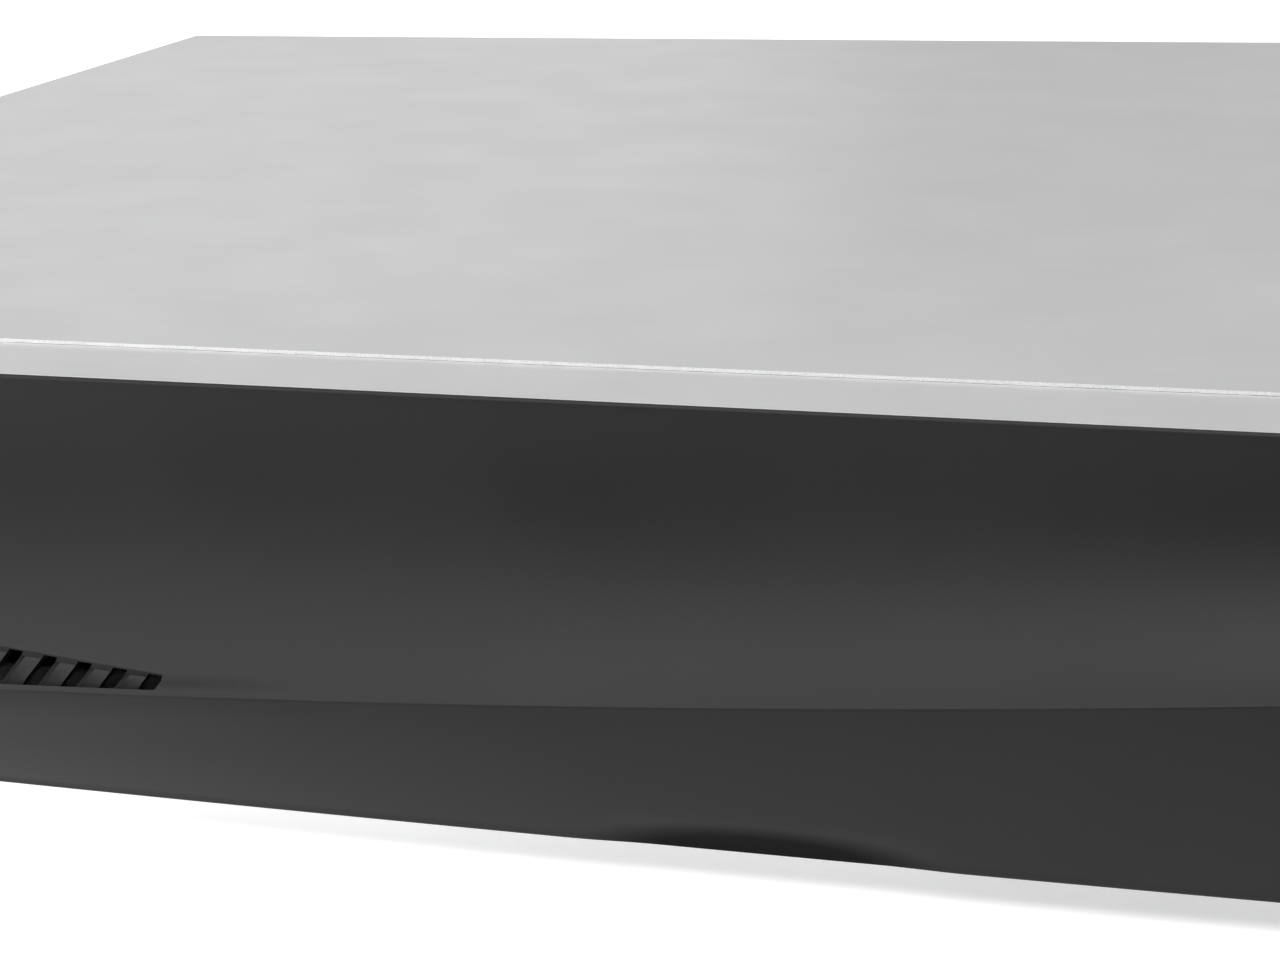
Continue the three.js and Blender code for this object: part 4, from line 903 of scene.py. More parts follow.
def build_rear_panel():
    """Pressed plate with smooth round openings."""
    low, high = span("rear_panel")
    ys = (low.y - 2, high.y + 2)
    x_vga, z_vga = rear_axis("vga_port", VGA_TOP)
    outlines = [circle(*rear_axis(node), 6.6) for node in VIDEO_JACKS]
    outlines += [circle(*rear_axis(node), 5.4) for node in AUDIO_JACKS]
    outlines += [rounded(x_vga - 9.2, x_vga + 9.2, z_vga - 5.1, z_vga + 5.1, 1.2)]
    outlines += [circle(x_vga + side * VGA_NUT, z_vga, 1.8, 24) for side in (-1, 1)]
    outlines += [circle(*rear_axis("power_jack", POWER_TOP), 4.6)]
    outlines += [circle(*rear_axis(node), 1.75, 24)
                 for node in ("ground_screw", "cover_screw_rear_left", "cover_screw_rear_right")]
    for node, (width, height, radius) in PANEL_WINDOWS.items():
        x, z = rear_axis(node)
        outlines.append(rounded(x - width / 2, x + width / 2, z - height / 2, z + height / 2, radius))
    outlines += [rounded(x - 1.5, x + 1.5, TABLE_Z + 31, TABLE_Z + 38, 1.45) for x in spaced(-60, 40, 11)]
    plate = prism([(low.x, low.z), (high.x, low.z), (high.x, high.z), (low.x, high.z)], low.y, high.y)
    shape = carved(plate, merged(*[prism(outline, *ys) for outline in outlines]))
    add_piece("rear_panel_pressing", shape, "tray_steel", replaces=["rear_panel"], edge=0.12)


# ---- Rear connectors ---------------------------------------------------------------------------------------
def video_jack_shapes(tip):
    """Shell with two bayonet lugs, insulator and centre contact, all pointing along +y from y = 0."""
    floor = tip - 8.5
    shell = [(0, 0), (6.1, 0), (6.2, 0.15), (6.2, 2.7), (5.95, 3.2), (5.3, 3.45), (5.0, 3.75), (4.9, 4.3),
             (4.9, tip - 0.6), (4.8, tip - 0.2), (4.5, tip), (4.1, tip), (3.9, tip - 0.25), (3.9, floor),
             (0, floor)]
    shell = lathe(shell, (0, 0, 0), "y", 64)
    lug = [(0, 4.4), (0.95, 4.4), (0.95, 6.0), (0.8, 6.25), (0, 6.3)]
    lug_y = tip - 3.6
    for turn in (Matrix(), Matrix.Rotation(math.pi, 3, "X")):
        pin = placed(lathe(lug, (0, 0, 0), "z", 28), (0, lug_y, 0), turn.to_3x3())
        shell = carved(shell, pin, operation="UNION")
    insulator = lathe([(0.8, floor + 0.02), (2.2, floor + 0.02), (2.2, tip - 2.75), (1.95, tip - 2.5),
                       (1.05, tip - 2.5), (0.8, tip - 2.7)], (0, 0, 0), "y", 40)
    contact = lathe([(0.42, floor + 0.04), (0.74, floor + 0.04), (0.74, tip - 3.1), (0.66, tip - 3.0),
                     (0.42, tip - 3.1)], (0, 0, 0), "y", 28)
    return {"shell": (shell, "plated_metal"), "insulator": (insulator, "white_plastic"),
            "contact": (contact, "gold_contact")}


def build_video_jacks():
    low, high = span(VIDEO_JACKS[0])
    shapes = video_jack_shapes(high.y - low.y)
    for node in VIDEO_JACKS:
        x, z = rear_axis(node)
        for part, (shape, slot) in shapes.items():
            replaces = [node] if part == "shell" else []
            add_piece(f"{node}_{part}", placed(shape, (x, low.y, z)), slot, replaces=replaces, smooth=32)


def build_audio_jacks():
    for node, colour in AUDIO_JACKS.items():
        x, z = rear_axis(node)
        seat = span(node)[0].y
        tip = span(node)[1].y - seat
        core = [(0, 0), (4.85, 0), (5, 0.15), (5, 1.9), (4.75, 2.2), (3.3, 2.2), (3.3, tip - 0.9),
                (3.1, tip - 0.7), (2.0, tip - 0.7), (1.65, tip - 1.1), (1.65, 2.6), (0, 2.6)]
        sleeve = [(3.4, 2.25), (4.15, 2.25), (4.15, tip - 0.4), (4.0, tip - 0.1), (3.8, tip), (3.55, tip),
                  (3.4, tip - 0.2)]
        contact = [(1.3, 2.7), (1.6, 2.7), (1.6, tip - 1.4), (1.3, tip - 1.4)]
        add_piece(f"{node}_core", lathe(core, (x, seat, z), "y", 56), colour, replaces=[node])
        add_piece(f"{node}_sleeve", lathe(sleeve, (x, seat, z), "y", 56), "plated_metal")
        add_piece(f"{node}_contact", lathe(contact, (x, seat, z), "y", 32), "gold_contact")


def build_vga():
    x, z = rear_axis("vga_port", VGA_TOP)
    low, high = span("vga_port")

    def outline(margin):
        wide, narrow, half, corner = 8.2 - margin, 7.0 - margin, 3.9 - margin, 1.1
        sharp = [(x + wide, z + half), (x - wide, z + half), (x - narrow, z - half), (x + narrow, z - half)]
        return softened(sharp, corner)

    body = block((low.x, high.x), (low.y, REAR_Y - 1.4), (low.z, z + VGA_TOP))
    add_piece("vga_port_body", body, "blue_plastic", replaces=["vga_port"], edge=0.3)
    rim = carved(prism(outline(0), REAR_Y - 1.35, high.y), prism(outline(0.5), REAR_Y - 3, high.y + 2))
    add_piece("vga_port_shell", rim, "plated_metal", edge=0.12)
    contacts = [circle(x + dx + row * 0.57, z + row * 2.0, 0.5, 16)
                for row in (-1, 0, 1) for dx in spaced(-4.6, 4.6, 5)]
    holes = merged(*[prism(hole, REAR_Y + 2, high.y + 1) for hole in contacts])
    insert = carved(prism(outline(0.56), REAR_Y - 1.35, high.y - 0.35), holes)
    add_piece("vga_port_insert", insert, "blue_plastic", edge=0.1)
    hexagon = [(2.7 * math.cos(a), 2.7 * math.sin(a)) for a in turn_angles(6)]
    for name, side in (("left", -1), ("right", 1)):
        nut_x = x + side * VGA_NUT
        nut = prism([(nut_x + u, z + v) for u, v in hexagon], REAR_Y + 0.2, REAR_Y + 5.2)
        ring = [(0, 4.9), (2.4, 4.9), (3.2, 3.9), (3.2, 7), (0, 7)]
        ring = lathe(ring, (nut_x, REAR_Y + 0.3, z), "y", 32)
        bore = prism(circle(nut_x, z, 1.3, 28), REAR_Y + 1, REAR_Y + 8)
        add_piece(f"vga_port_nut_{name}", carved(carved(nut, ring), bore), "plated_metal", edge=0.1)


def build_hdmi():
    x, z = rear_axis("hdmi_port")
    low, high = span("hdmi_port")

    def outline(w, h, c):
        sharp = [(x + w, z + h), (x - w, z + h), (x - w, z - h + c), (x - w + c, z - h), (x + w - c, z - h),
                 (x + w, z - h + c)]
        return softened(sharp, 0.5)

    shell = carved(prism(outline(7.6, 3, 1.9), low.y, high.y),
                   prism(outline(7.05, 2.45, 1.7), low.y + 1, high.y + 2))
    for dx in (-3.4, 3.4):
        for dz in (-3, 3):
            window = around((x + dx, high.y - 4.1, z + dz), (0.9, 1.9, 0.8))
            shell = carved(shell, window)
    add_piece("hdmi_port_shell", shell, "plated_metal", replaces=["hdmi_port"], edge=0.1)
    tongue = block((x - 5.6, x + 5.6), (low.y + 0.9, high.y - 1.2), (z - 0.15, z + 0.85))
    add_piece("hdmi_port_tongue", tongue, "black_plastic", edge=0.15)
    strips = [block((x + dx - 0.16, x + dx + 0.16), (low.y + 2, high.y - 1.6), (z - 0.22, z - 0.1))
              for dx in spaced(-4.5, 4.5, 10)]
    add_piece("hdmi_port_contacts", merged(*strips), "gold_contact")


def usb_socket(name, node, tongue_slot, outward, tongue_node=None):
    """Flat receptacle: rolled shell with four springs, a tongue and its contacts."""
    x, z = rear_axis(node)
    low, high = span(node)
    mouth, back = (low.y, high.y) if outward < 0 else (high.y, low.y)
    half_w, half_h, wall = (high.x - low.x) / 2, (high.z - low.z) / 2, 0.4
    inward = -outward
    outer = rounded(x - half_w, x + half_w, z - half_h, z + half_h, 0.6)
    inner = rounded(x - half_w + wall, x + half_w - wall, z - half_h + wall, z + half_h - wall, 0.35)
    shell = carved(prism(outer, *sorted((mouth, back))),
                   prism(inner, *sorted((mouth + outward, back + outward * 0.5))))
    for dx in (-3.1, 3.1):
        for side in (-1, 1):
            ys = sorted((mouth + inward * 1.6, mouth + inward * 6.5))
            slot_zs = sorted((z + side * (half_h - 1), z + side * (half_h + 1)))
            spring_zs = sorted((z + side * (half_h - 0.45), z + side * (half_h - 0.1)))
            slot = block((x + dx - 1.3, x + dx + 1.3), ys, slot_zs)
            spring = block((x + dx - 0.95, x + dx + 0.95), (ys[0] - 0.2, ys[1] - 0.7), spring_zs)
            shell = carved(carved(shell, slot), spring, operation="UNION")
    add_piece(f"{name}_rolled_shell", shell, "plated_metal", replaces=[node], edge=0.08)
    ys = sorted((mouth + inward * 1.2, back + outward * 0.55))
    tongue = block((x - 5.4, x + 5.4), ys, (z + 0.1, z + 1.9))
    replaced = [tongue_node] if tongue_node else []
    add_piece(f"{name}_moulded_tongue", tongue, tongue_slot, replaces=replaced, edge=0.25)
    strips = [block((x + dx - 0.5, x + dx + 0.5), sorted((mouth + inward * 2.0, mouth + inward * 9)),
                    (z - 0.02, z + 0.14)) for dx in (-3.5, -1.2, 1.2, 3.5)]
    add_piece(f"{name}_contacts", merged(*strips), "gold_contact", edge=0.04)


def build_lan():
    """Shielded socket: plated can, dark insert with a stepped mouth, eight contact wires and two lamps."""
    x, z = rear_axis("lan_port")
    low, high = span("lan_port")
    can = carved(block((low.x, high.x), (low.y, high.y), (low.z, high.z)),
                 block((x - 7.4, x + 7.4), (low.y + 1, high.y + 2), (z - 6.2, z + 6.2)))
    add_piece("lan_port_can", can, "plated_metal", replaces=["lan_port"], edge=0.25)
    insert = block((x - 7.35, x + 7.35), (low.y + 1.05, high.y - 0.25), (z - 6.15, z + 6.15))
    mouth_y = (high.y - 13.2, high.y + 2)
    steps = [(5.9, -4.6, 3.0), (3.1, 2.9, 4.4), (1.7, 4.3, 5.3)]
    for half, bottom, top in steps:
        insert = carved(insert, block((x - half, x + half), mouth_y, (z + bottom, z + top)))
    for side in (-1, 1):
        xs = sorted((x + side * 3.9, x + side * 6.5))
        insert = carved(insert, block(xs, (high.y - 1.4, high.y + 1), (z + 3.9, z + 5.4)))
    add_piece("lan_port_insert", insert, "black_plastic", edge=0.12)
    wires = []
    for dx in spaced(-3.57, 3.57, 8):
        path = [(high.y - 1.2, -4.35), (high.y - 2.4, -4.3), (high.y - 8.5, -2.7), (high.y - 9.3, -3.1)]
        wires.append(strip(path, 0.18, x + dx, 0.42, z))
    add_piece("lan_port_contacts", merged(*wires), "gold_contact")
    for name, side, slot in (("left", -1, "green_plastic"), ("right", 1, "amber_plastic")):
        xs = sorted((x + side * 3.98, x + side * 6.42))
        lamp = block(xs, (high.y - 1.38, high.y - 0.3), (z + 3.98, z + 5.32))
        add_piece(f"lan_port_lamp_{name}", lamp, slot, edge=0.2)


def build_serial_plug():
    x, z = rear_axis("serial_terminal_plug")
    low, high = span("serial_terminal_plug")
    body = block((low.x, high.x), (low.y, high.y), (low.z, high.z))
    poles = spaced(x - 4.2, x + 4.2, 3)
    for pole in poles:
        pocket = block((pole - 1.35, pole + 1.35), (REAR_Y + 1, high.y + 1), (z - 2.7, z + 0.3))
        pin_hole = block((pole - 0.8, pole + 0.8), (low.y - 1, REAR_Y - 3.4), (z - 0.8, z + 0.8))
        well = lathe([(0, 0.9), (1.55, 0.9), (1.55, 6), (0, 6)], (pole, REAR_Y + 3.4, z), "z", 32)
        body = carved(carved(carved(body, pocket), pin_hole), well)
    for side in (low.x, high.x):
        body = carved(body, block((side - 0.45, side + 0.45), (REAR_Y + 2.2, high.y + 1), (z - 1.2, z + 1.2)))
    add_piece("terminal_plug_body", body, "green_plastic", body="terminal_plug",
              replaces=["serial_terminal_plug"], edge=0.18)
    screws, clamps = [], []
    for pole in poles:
        head = [(0, 0.95), (1.4, 0.95), (1.4, 1.9), (1.15, 2.15), (0, 2.2)]
        head = lathe(head, (pole, REAR_Y + 3.4, z), "z", 32)
        groove = block((pole - 2, pole + 2), (REAR_Y + 3.15, REAR_Y + 3.65), (z + 1.65, z + 3))
        screws.append(carved(head, groove))
        cage = block((pole - 1.25, pole + 1.25), (REAR_Y + 2.2, high.y - 0.9), (z - 2.6, z + 0.2))
        wire_way = block((pole - 0.85, pole + 0.85), (REAR_Y + 3, high.y + 1), (z - 2.1, z - 0.3))
        clamps.append(carved(cage, wire_way))
    add_piece("terminal_plug_screws", merged(*screws), "screw_steel", body="terminal_plug", edge=0.08)
    add_piece("terminal_plug_clamps", merged(*clamps), "plated_metal", body="terminal_plug", edge=0.08)


def build_power_jack():
    x, z = rear_axis("power_jack", POWER_TOP)
    low, high = span("power_jack")
    body = block((low.x, high.x), (low.y, REAR_Y - 1.25), (low.z, high.z))
    collar = [(0, 0), (4.3, 0), (4.3, 2.2), (4.1, 2.5), (3.9, 2.6), (0, 2.6)]
    collar = lathe(collar, (x, REAR_Y - 1.4, z), "y", 56)
    bore = [(0, 0), (3.1, 0), (3.1, 9.9), (3.35, 10.25), (3.35, 13), (0, 13)]
    bore = lathe(bore, (x, REAR_Y - 9, z), "y", 56)
    add_piece("power_jack_body", carved(carved(body, collar, operation="UNION"), bore), "black_plastic",
              replaces=["power_jack"], edge=0.12)
    pin = [(0, 0), (1, 0), (1, 7.9), (0.85, 8.35), (0.5, 8.6), (0, 8.65)]
    pin = lathe(pin, (x, REAR_Y - 9.5, z), "y", 32)
    add_piece("power_jack_pin", pin, "plated_metal")


ROCKER = {"half_height": 4.6, "high": 4.2, "valley": 1.9, "tilt": 9.0, "sag": 0.28}


def build_rocker():
    """Rocker with two dished faces, an upright bar on one and a ring on the other."""
    low, high = span("switch_rocker")
    x = (low.x + high.x) / 2
    axis = Vector((0, REAR_Y + 0.4, centre("switch_housing").z))
    half = ROCKER["half_height"]

    def face(z):
        share = abs(z) / half
        dish = ROCKER["sag"] * 4 * share * (1 - share)
        return ROCKER["valley"] + (ROCKER["high"] - ROCKER["valley"]) * share - dish

    dished = [(face(z), z) for z in spaced(half, -half, 31)]
    sweep = math.radians(78)
    foot = [(-half * math.cos(a), half * math.sin(a)) for a in spaced(-sweep, sweep, 25)]
    turn = Matrix.Rotation(math.radians(ROCKER["tilt"]), 3, "X")
    body = prism(dished + foot, low.x, high.x, "x")
    add_piece("rocker_cap", placed(body, axis, turn), "black_plastic", body="switch_rocker",
              replaces=["switch_rocker"], edge=0.25, smooth=30)

    def mark(outline_points):
        """Thin raised shape that follows the dished face; its outline is (x, z)."""
        front = [(px, face(pz) + 0.06, pz) for px, pz in outline_points]
        back = [(px, face(pz) - 0.15, pz) for px, pz in outline_points]
        count = len(front)
        sides = [[i, (i + 1) % count, (i + 1) % count + count, i + count] for i in range(count)]
        return front + back, [list(range(count)), list(range(2 * count - 1, count - 1, -1))] + sides

    bar = mark([(x - 0.2, 1.6), (x + 0.2, 1.6), (x + 0.2, 3.3), (x - 0.2, 3.3)])
    ring_points, ring_faces = [], []
    for radius, depth in ((1.0, -0.15), (1.0, 0.06), (0.7, 0.06), (0.7, -0.15)):
        ring_points += [(px, face(pz) + depth, pz) for px, pz in circle(x, -2.45, radius, 32)]
    for ring in range(4):
        for i in range(32):
            a, b = ring * 32 + i, ring * 32 + (i + 1) % 32
            c, d = ((ring + 1) % 4) * 32 + (i + 1) % 32, ((ring + 1) % 4) * 32 + i
            ring_faces.append([a, b, c, d])
    marks = merged(bar, (ring_points, ring_faces))
    add_piece("rocker_marks", placed(marks, axis, turn), "white_plastic", body="switch_rocker")


# ---- Fan ---------------------------------------------------------------------------------------------------
FAN_BLADES = 7


def build_fan():
    low, high = span("fan_frame")
    at = centre("fan_frame")
    half = (high.y - low.y) / 2
    frame_body = prism(rounded(at.y - half, at.y + half, at.z - half, at.z + half, 2.2), low.x, high.x, "x")
    duct = [(0, -1), (14.3, -1), (14.3, 0.1), (13.8, 1.6), (13.8, 8.4), (14.3, 9.9), (14.3, 11), (0, 11)]
    frame_body = carved(frame_body, lathe(duct, (low.x, at.y, at.z), "x", 72))
    for dy in (-12, 12):
        for dz in (-12, 12):
            hole = prism(circle(at.y + dy, at.z + dz, 1.6, 24), low.x - 1, high.x + 1, "x")
            frame_body = carved(frame_body, hole)
    hub = lathe([(0, 0), (6.3, 0), (6.5, 0.2), (6.5, 1.4), (0, 1.4)], (low.x, at.y, at.z), "x", 48)
    frame_body = carved(frame_body, hub, operation="UNION")
    for turn in spaced(0, 240, 3):
        strut = block((0, 1.4), (-0.9, 0.9), (5, 14.6))
        strut = placed(strut, (low.x, at.y, at.z), Matrix.Rotation(math.radians(turn), 3, "X"))
        frame_body = carved(frame_body, strut, operation="UNION")
    add_piece("fan_housing", frame_body, "black_plastic", replaces=["fan_frame"], edge=0.2)

    start = span("fan_rotor")[0].x
    hub = lathe([(0, 0.3), (5.6, 0.3), (6.4, 0.3), (6.4, 6.6), (6.1, 7.2), (5.4, 7.4), (0, 7.4)],
                (start, at.y, at.z), "x", 56)
    rotor = hub
    for a in turn_angles(FAN_BLADES):
        blade = placed(fan_blade(), (start + 4, at.y, at.z), Matrix.Rotation(a, 3, "X"))
        rotor = carved(rotor, blade, operation="UNION")
    add_piece("fan_impeller", rotor, "black_plastic", body="fan_rotor", replaces=["fan_rotor"], smooth=40)


def fan_blade(rows=9, chord_steps=9):
    """Twisted, cambered blade standing along +z from the hub; x is the fan's axis."""
    sides = {1: [], -1: []}
    for radius in spaced(5.9, 13.0, rows):
        twist = math.radians(52 - 2.3 * (radius - 5.9))
        half_chord = 3.3 + 0.09 * (radius - 5.9)
        for u in spaced(-1, 1, chord_steps):
            thick = 0.16 + 0.24 * (1 - u * u)
            camber = 0.55 * (1 - u * u)
            for side in (1, -1):
                along, across = u * half_chord, camber + side * thick
                px = along * math.sin(twist) - across * math.cos(twist) * 0.9
                py = along * math.cos(twist) + across * math.sin(twist)
                px = min(max(px, -3.4), 3.3)
                sides[side].append((px, py, math.sqrt(max(radius * radius - py * py, 1))))
    count = rows * chord_steps
    points = sides[1] + sides[-1]
    faces = []
    for r in range(rows - 1):
        for c in range(chord_steps - 1):
            a = r * chord_steps + c
            quad = [a, a + 1, a + chord_steps + 1, a + chord_steps]
            faces.append(quad)
            faces.append([count + i for i in reversed(quad)])
    rim = list(range(chord_steps))
    rim += [r * chord_steps + chord_steps - 1 for r in range(1, rows)]
    rim += [(rows - 1) * chord_steps + c for c in range(chord_steps - 2, -1, -1)]
    rim += [r * chord_steps for r in range(rows - 2, 0, -1)]
    for a, b in zip(rim, rim[1:] + rim[:1]):
        faces.append([a, count + a, count + b, b])
    return points, faces


# ---- Front window, lamps and socket ------------------------------------------------------------------------
def build_front_lamps():
    for node in LAMPS:
        low, high = span(node)
        at = centre(node)
        length = high.y - low.y
        dome = [(1.5 * math.sin(a), 0.65 * (1 - math.cos(a))) for a in spaced(0, math.pi / 2, 8)]
        profile = dome + [(1.5, length - 2), (2.1, length - 1.9), (2.1, length), (0, length)]
        pipe = lathe(profile, (at.x, low.y, at.z), "y", 40)
        add_piece(f"{node}_pipe", pipe, "lens_plastic", replaces=[node])


def build_infrared_window():
    low, high = span("infrared_window")
    pane = prism(rounded(low.x, high.x, low.z, high.z, 2.4, 9), low.y, high.y)
    add_piece("infrared_pane", pane, "smoked_plastic", replaces=["infrared_window"], edge=0.35)


# ---- Boards and what stands on them ------------------------------------------------------------------------
def build_main_board():
    """Bare board with its screw holes; its larger parts are pieces of their own."""
    low, high = span("main_board")
    top = low.z + 1.6
    step_x, step_y = low.x + 52, low.y + 76  # inner corner of the L
    outline = [(low.x, step_y), (step_x, step_y), (step_x, low.y), (high.x, low.y),
               (high.x, high.y), (low.x, high.y)]
    screws = [(low.x + 6, step_y + 6), (low.x + 6, high.y - 6.6), (40, high.y - 6.6),
              (high.x - 6, high.y - 6.6), (high.x - 6, low.y + 6), (step_x + 6, low.y + 6)]
    holes = merged(*[prism(circle(x, y, 1.7, 24), low.z - 1, top + 1, "z") for x, y in screws])
    add_piece("main_board_laminate", carved(prism(outline, low.z, top, "z"), holes), "circuit_board",
              replaces=["main_board"])
    sleeve = [(0, 0), (3.9, 0), (4, 0.2), (4, 0.8), (3.8, 1.0), (4, 1.2), (4, 10.6), (3.4, 10.9),
              (3.4, 10.7), (0, 10.7)]
    can_lid = [(0, 10.72), (3.35, 10.72), (3.3, 10.95), (0, 10.95)]
    sleeves, cans = [], []
    for x, y in ((step_x + 8, low.y + 96), (step_x + 8, low.y + 108),
                 (low.x + 28, step_y + 12), (low.x + 42, step_y + 12)):
        sleeves.append(lathe(sleeve, (x, y, top), "z", 40))
        vent = block((x - 2.4, x + 2.4), (y - 0.12, y + 0.12), (top + 10.8, top + 12))
        cans.append(carved(lathe(can_lid, (x, y, top), "z", 40), vent))
    add_piece("board_capacitor_sleeves", merged(*sleeves), "black_plastic")
    add_piece("board_capacitor_tops", merged(*cans), "sink_aluminium")
    packages, legs = [], []
    for x in (30, 96):
        for y in (low.y + 34, low.y + 54):
            packages.append(block((x, x + 12), (y + 1, y + 8), (top + 0.15, top + 1.2)))
            for leg_x in spaced(x + 0.8, x + 11.2, 12):
                for near, far in ((y, y + 1.05), (y + 9, y + 7.95)):
                    ys = sorted((near, far))
                    legs.append(block((leg_x - 0.2, leg_x + 0.2), ys, (top + 0.02, top + 0.55)))
    add_piece("board_memory_chips", merged(*packages), "black_plastic", edge=0.12)
    add_piece("board_memory_legs", merged(*legs), "plated_metal")
    shrouds, pins = [], []
    for xs, ys, height, rows in (((97, 115), (low.y + 3, low.y + 7), 5, 8),
                                 ((-30, -14), (low.y + 12, low.y + 18), 8, 6),
                                 ((-4, 8), (low.y + 12, low.y + 18), 8, 4)):
        shroud = block(xs, ys, (top, top + height))
        shrouds.append(carved(shroud, block((xs[0] + 0.8, xs[1] - 0.8), (ys[0] + 0.8, ys[1] - 0.8),
                                            (top + 1.5, top + height + 1))))
        for x in spaced(xs[0] + 2, xs[1] - 2, rows):
            middle = sum(ys) / 2
            pin_zs = (top + 1.4, top + height - 0.8)
            pins.append(block((x - 0.3, x + 0.3), (middle - 0.3, middle + 0.3), pin_zs))
    add_piece("board_header_shrouds", merged(*shrouds), "white_plastic", edge=0.1)
    add_piece("board_header_pins", merged(*pins), "gold_contact")
    draw = random.Random(3)
    chips = []
    for _ in range(90):
        x = draw.uniform(-28, 140)
        y = draw.choice([low.y + 82, low.y + 87, low.y + 92, low.y + 26, low.y + 22])
        half = (0.8, 0.45) if draw.random() < 0.5 else (0.45, 0.8)
        if abs(x - 112) < 15 or 44 < x < 80:
            continue
        chips.append(block((x - half[0], x + half[0]), (y - half[1], y + half[1]), (top, top + 0.5)))
    add_piece("board_small_parts", merged(*chips), "drive_casting", edge=0.05)


def build_coin_cell():
    at, (low, high) = centre("coin_cell"), span("coin_cell")
    radius, height = (high.x - low.x) / 2, high.z - low.z
    profile = [(0, 0.15), (radius - 1.2, 0), (radius - 0.9, 0), (radius - 0.8, 0.35), (radius - 0.1, 0.35),
               (radius, 0.5), (radius, height - 0.3), (radius - 0.3, height), (0, height)]
    can = lathe(profile, (at.x, at.y, low.z), "z", 72)
    add_piece("coin_cell_can", can, "plated_metal", replaces=["coin_cell"])


# ---- Drive -------------------------------------------------------------------------------------------------
def build_drive_lid():
    """Pressed lid with a raised round over the discs, a shallow label field and six star screws."""
    low, high = span("drive_lid")
    spindle = centre("drive_platters")
    top = high.z
    plate = prism(rounded(low.x, high.x, low.y, high.y, 4, 7), low.z, top, "z")
    ring = lathe([(44.5, 0), (46.0, 0), (46.0, 3), (44.5, 3)], (spindle.x, spindle.y, top - 0.35), "z", 96)
    field = prism(rounded(low.x + 16, high.x - 16, high.y - 44, high.y - 10, 2), top - 0.2, top + 2, "z")
    plate = carved(carved(plate, ring), field)
    places = [(x, y) for x in (low.x + 4.2, high.x - 4.2) for y in spaced(low.y + 4.2, high.y - 4.2, 3)]
    screws = []
    for x, y in places:
        well = lathe([(0, 0), (2.6, 0), (2.9, 0.6), (2.9, 3), (0, 3)], (x, y, top - 0.6), "z", 32)
        plate = carved(plate, well)
        head = lathe([(0, -0.55), (2.3, -0.55), (2.3, -0.15), (2.1, -0.02), (0, -0.02)], (x, y, top), "z", 32)
        star = [(x + (1.15 if k % 2 else 0.75) * math.cos(a), y + (1.15 if k % 2 else 0.75) * math.sin(a))
                for k, a in enumerate(turn_angles(12))]
        screws.append(carved(head, prism(star, top - 0.4, top + 1, "z")))
    add_piece("drive_lid_pressing", plate, "drive_lid_steel", replaces=["drive_lid"], edge=0.12)
    add_piece("drive_lid_screws", merged(*screws), "screw_steel")


def build_platters():
    """Two polished discs on a hub, under a clamp with six screws."""
    at, (low, high) = centre("drive_platters"), span("drive_platters")
    radius = (high.x - low.x) / 2
    foot = low.z - 0.3
    discs = []
    for level in (2.0, 5.4):
        disc = [(12.5, level), (radius - 0.15, level), (radius, level + 0.15), (radius, level + 1.15),
                (radius - 0.15, level + 1.3), (12.5, level + 1.3)]
        discs.append(lathe(disc, (at.x, at.y, foot), "z", 128))
    add_piece("drive_discs", merged(*discs), "disc_mirror", body="drive_platters",
              replaces=["drive_platters"], smooth=25)
    hub = lathe([(0, 0.3), (12, 0.3), (12.4, 1.0), (12.4, 6.72), (13, 6.75), (13, 8.2), (12.4, 8.6), (7, 8.6),
                 (6.6, 8.2), (0, 8.2)], (at.x, at.y, foot), "z", 72)
    for a in turn_angles(6):
        spot = (at.x + 9.8 * math.cos(a), at.y + 9.8 * math.sin(a))
        hub = carved(hub, prism(circle(*spot, 1.1, 20), foot + 8.0, foot + 10, "z"))
    add_piece("drive_disc_clamp", hub, "sink_aluminium", body="drive_platters", edge=0.1)


build_cut_edge()
build_screws()
build_feet()
build_rear_panel()
build_video_jacks()
build_audio_jacks()
build_vga()
build_hdmi()
usb_socket("front_usb", "front_usb_shell", "white_plastic", -1, "front_usb_tongue")
usb_socket("rear_usb", "rear_usb_port", "black_plastic", 1)
build_lan()
build_serial_plug()
build_power_jack()
build_rocker()
build_fan()
build_front_lamps()
build_infrared_window()
build_main_board()
build_coin_cell()
build_drive_lid()
build_platters()


# ---- Camera, floor and light -------------------------------------------------------------------------------
CAMERA = {"pitch": 16.73, "yaw": -17.19, "roll": -1.95, "place": (67.27, -222.81, 107.55), "focal": 2713.0}
PHOTO_WIDTH = 1280
SENSOR = 36.0


def add_camera():
    """The photograph's own angle: turned about the upright axis, tipped down, then rolled."""
    pitch, yaw, roll = (math.radians(CAMERA[key]) for key in ("pitch", "yaw", "roll"))
    turn = Matrix(((math.cos(yaw), -math.sin(yaw), 0), (math.sin(yaw), math.cos(yaw), 0), (0, 0, 1)))
    tip = Matrix(((1, 0, 0), (0, math.cos(pitch), -math.sin(pitch)), (0, math.sin(pitch), math.cos(pitch))))
    tilt = Matrix(((math.cos(roll), 0, math.sin(roll)), (0, 1, 0), (-math.sin(roll), 0, math.cos(roll))))
    right, forward, up = tilt @ tip @ turn
    data = bpy.data.cameras.new("camera")
    data.sensor_width = SENSOR
    data.lens = CAMERA["focal"] * SENSOR / PHOTO_WIDTH
    data.clip_start, data.clip_end = 0.01, 20
    camera = bpy.data.objects.new("camera", data)
    camera.matrix_world = Matrix((right, up, -forward)).transposed().to_4x4()
    x, y, z = CAMERA["place"]
    camera.location = Vector((x, y + STEEL_Y, z)) * MM
    bpy.context.scene.collection.objects.link(camera)
    bpy.context.scene.camera = camera


add_camera()


FLOOR_GLOW = {"left": (0.06, -0.16, 0.52), "near": (-0.22, -0.16, 0.43)}  # from, to, strength


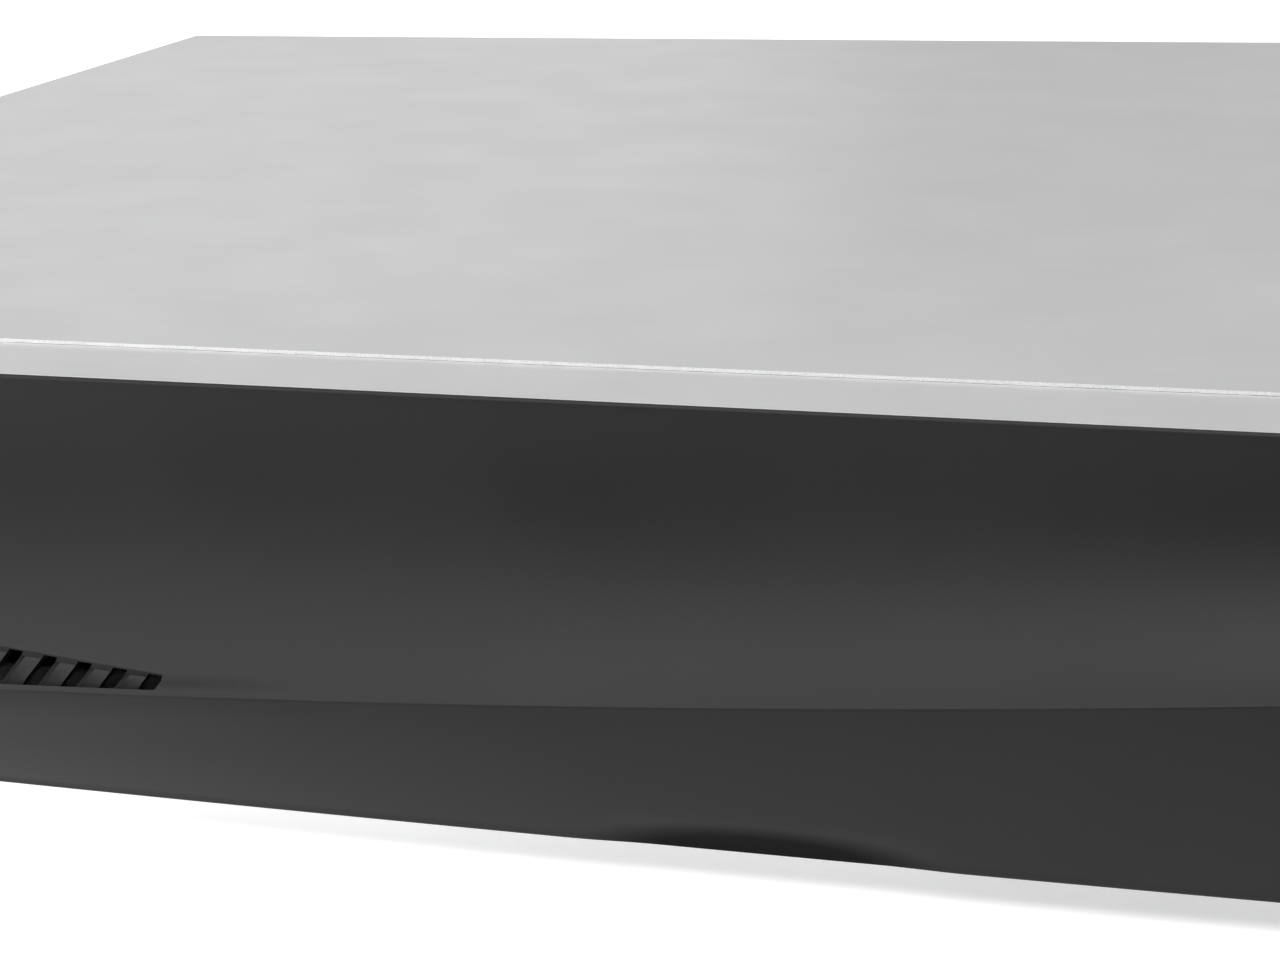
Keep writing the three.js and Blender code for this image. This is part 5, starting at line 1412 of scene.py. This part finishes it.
def add_floor():
    """Pale table, glowing a little more on the left and beside the recorder, as an overexposed sweep does."""
    size = 3.0
    mesh = bpy.data.meshes.new("floor")
    corners = [(-size, -size, 0), (size, -size, 0), (size, size, 0), (-size, size, 0)]
    mesh.from_pydata(corners, [], [(0, 1, 2, 3)])
    floor = bpy.data.objects.new("floor", mesh)
    bpy.context.scene.collection.objects.link(floor)
    look = Recipe("floor", Roughness=0.9, Emission_Color=(1, 1, 1, 1))
    tone = look.mix(look.noise(120, 3), grey(0.86), grey(0.9))
    axes = look.node("ShaderNodeSeparateXYZ", {"Vector": look.place}).outputs
    glow = [look.ramp(axes[axis], start, end, 0, strength, smooth=True)
            for axis, (start, end, strength) in (("X", FLOOR_GLOW["left"]), ("Y", FLOOR_GLOW["near"]))]
    look.set(Base_Color=tone, Emission_Strength=look.sums("ADD", *glow))
    mesh.materials.append(look.material)


add_floor()


def add_light(name, place, target, size, power):
    data = bpy.data.lights.new(name, "AREA")
    data.shape = "RECTANGLE"
    data.size, data.size_y = size
    data.energy = power
    lamp = bpy.data.objects.new(name, data)
    lamp.location = place
    lamp.rotation_euler = (Vector(target) - Vector(place)).to_track_quat("-Z", "Y").to_euler()
    lamp.visible_camera = False
    bpy.context.scene.collection.objects.link(lamp)


add_light("front_left", (-0.9, -1.1, 0.7), (0, 0, 0.02), (0.8, 0.8), 6.6)
add_light("front_top", (0.1, -0.95, 1.15), (0, -0.1, 0.02), (1.6, 0.6), 17)
add_light("left_low", (-0.7, -0.35, 0.35), (-0.1, -0.1, 0.02), (0.5, 0.5), 1.5)


DOME = {"back_low": 1.0, "back_high": 0.05, "front_low": 0.03, "front_high": 0.53}
BACKDROP = 0.85  # what the camera itself sees above the table
PANEL = {"left": (-0.33, -0.12), "top": (0.19, 0.235), "slope": 0.135, "share": 0.66}


def set_world():
    """Even studio dome, brighter overhead, with one dim panel low behind the recorder on its right."""
    world = bpy.data.worlds.new("studio")
    world.use_nodes = True
    tree = world.node_tree
    background = tree.nodes["Background"]
    background.inputs["Color"].default_value = (1, 1, 1, 1)

    def add(kind, inputs, **settings):
        made = tree.nodes.new(kind)
        for setting, value in settings.items():
            setattr(made, setting, value)
        for socket, value in inputs.items():
            if isinstance(value, bpy.types.NodeSocket):
                tree.links.new(value, made.inputs[socket])
            else:
                made.inputs[socket].default_value = value
        return made.outputs[0]

    def ramp(value, low, high, to_low, to_high):
        inputs = {"Value": value, "From Min": low, "From Max": high, "To Min": to_low, "To Max": to_high}
        return add("ShaderNodeMapRange", inputs, interpolation_type="SMOOTHSTEP")

    def product(first, second):
        return add("ShaderNodeMath", {0: first, 1: second}, operation="MULTIPLY")

    def total(first, second):
        return add("ShaderNodeMath", {0: first, 1: second}, operation="ADD")

    towards = tree.nodes.new("ShaderNodeTexCoord").outputs["Generated"]
    split = tree.nodes.new("ShaderNodeSeparateXYZ")
    tree.links.new(towards, split.inputs[0])
    right, back, up = split.outputs
    behind, before = ramp(back, -0.1, 0.1, 0, 1), ramp(back, -0.1, 0.1, 1, 0)
    low_back = product(behind, ramp(up, 0.3, 0.5, DOME["back_low"], DOME["back_high"]))
    low_front = product(before, ramp(up, 0.3, 0.5, DOME["front_low"], DOME["front_high"]))
    above = total(product(right, PANEL["slope"]), up)
    panel = product(ramp(right, *PANEL["left"], 0, 1), ramp(above, *PANEL["top"], 1, 0))
    panel = product(panel, ramp(back, 0.2, 0.6, 0, 1))
    level = product(total(low_back, low_front), ramp(panel, 0, 1, 1, PANEL["share"]))
    seen = tree.nodes.new("ShaderNodeLightPath").outputs["Is Camera Ray"]
    inputs = {"Value": seen, "To Min": level, "To Max": BACKDROP}
    tree.links.new(add("ShaderNodeMapRange", inputs), background.inputs["Strength"])
    bpy.context.scene.world = world
    bpy.context.scene.view_settings.view_transform = "Standard"


set_world()
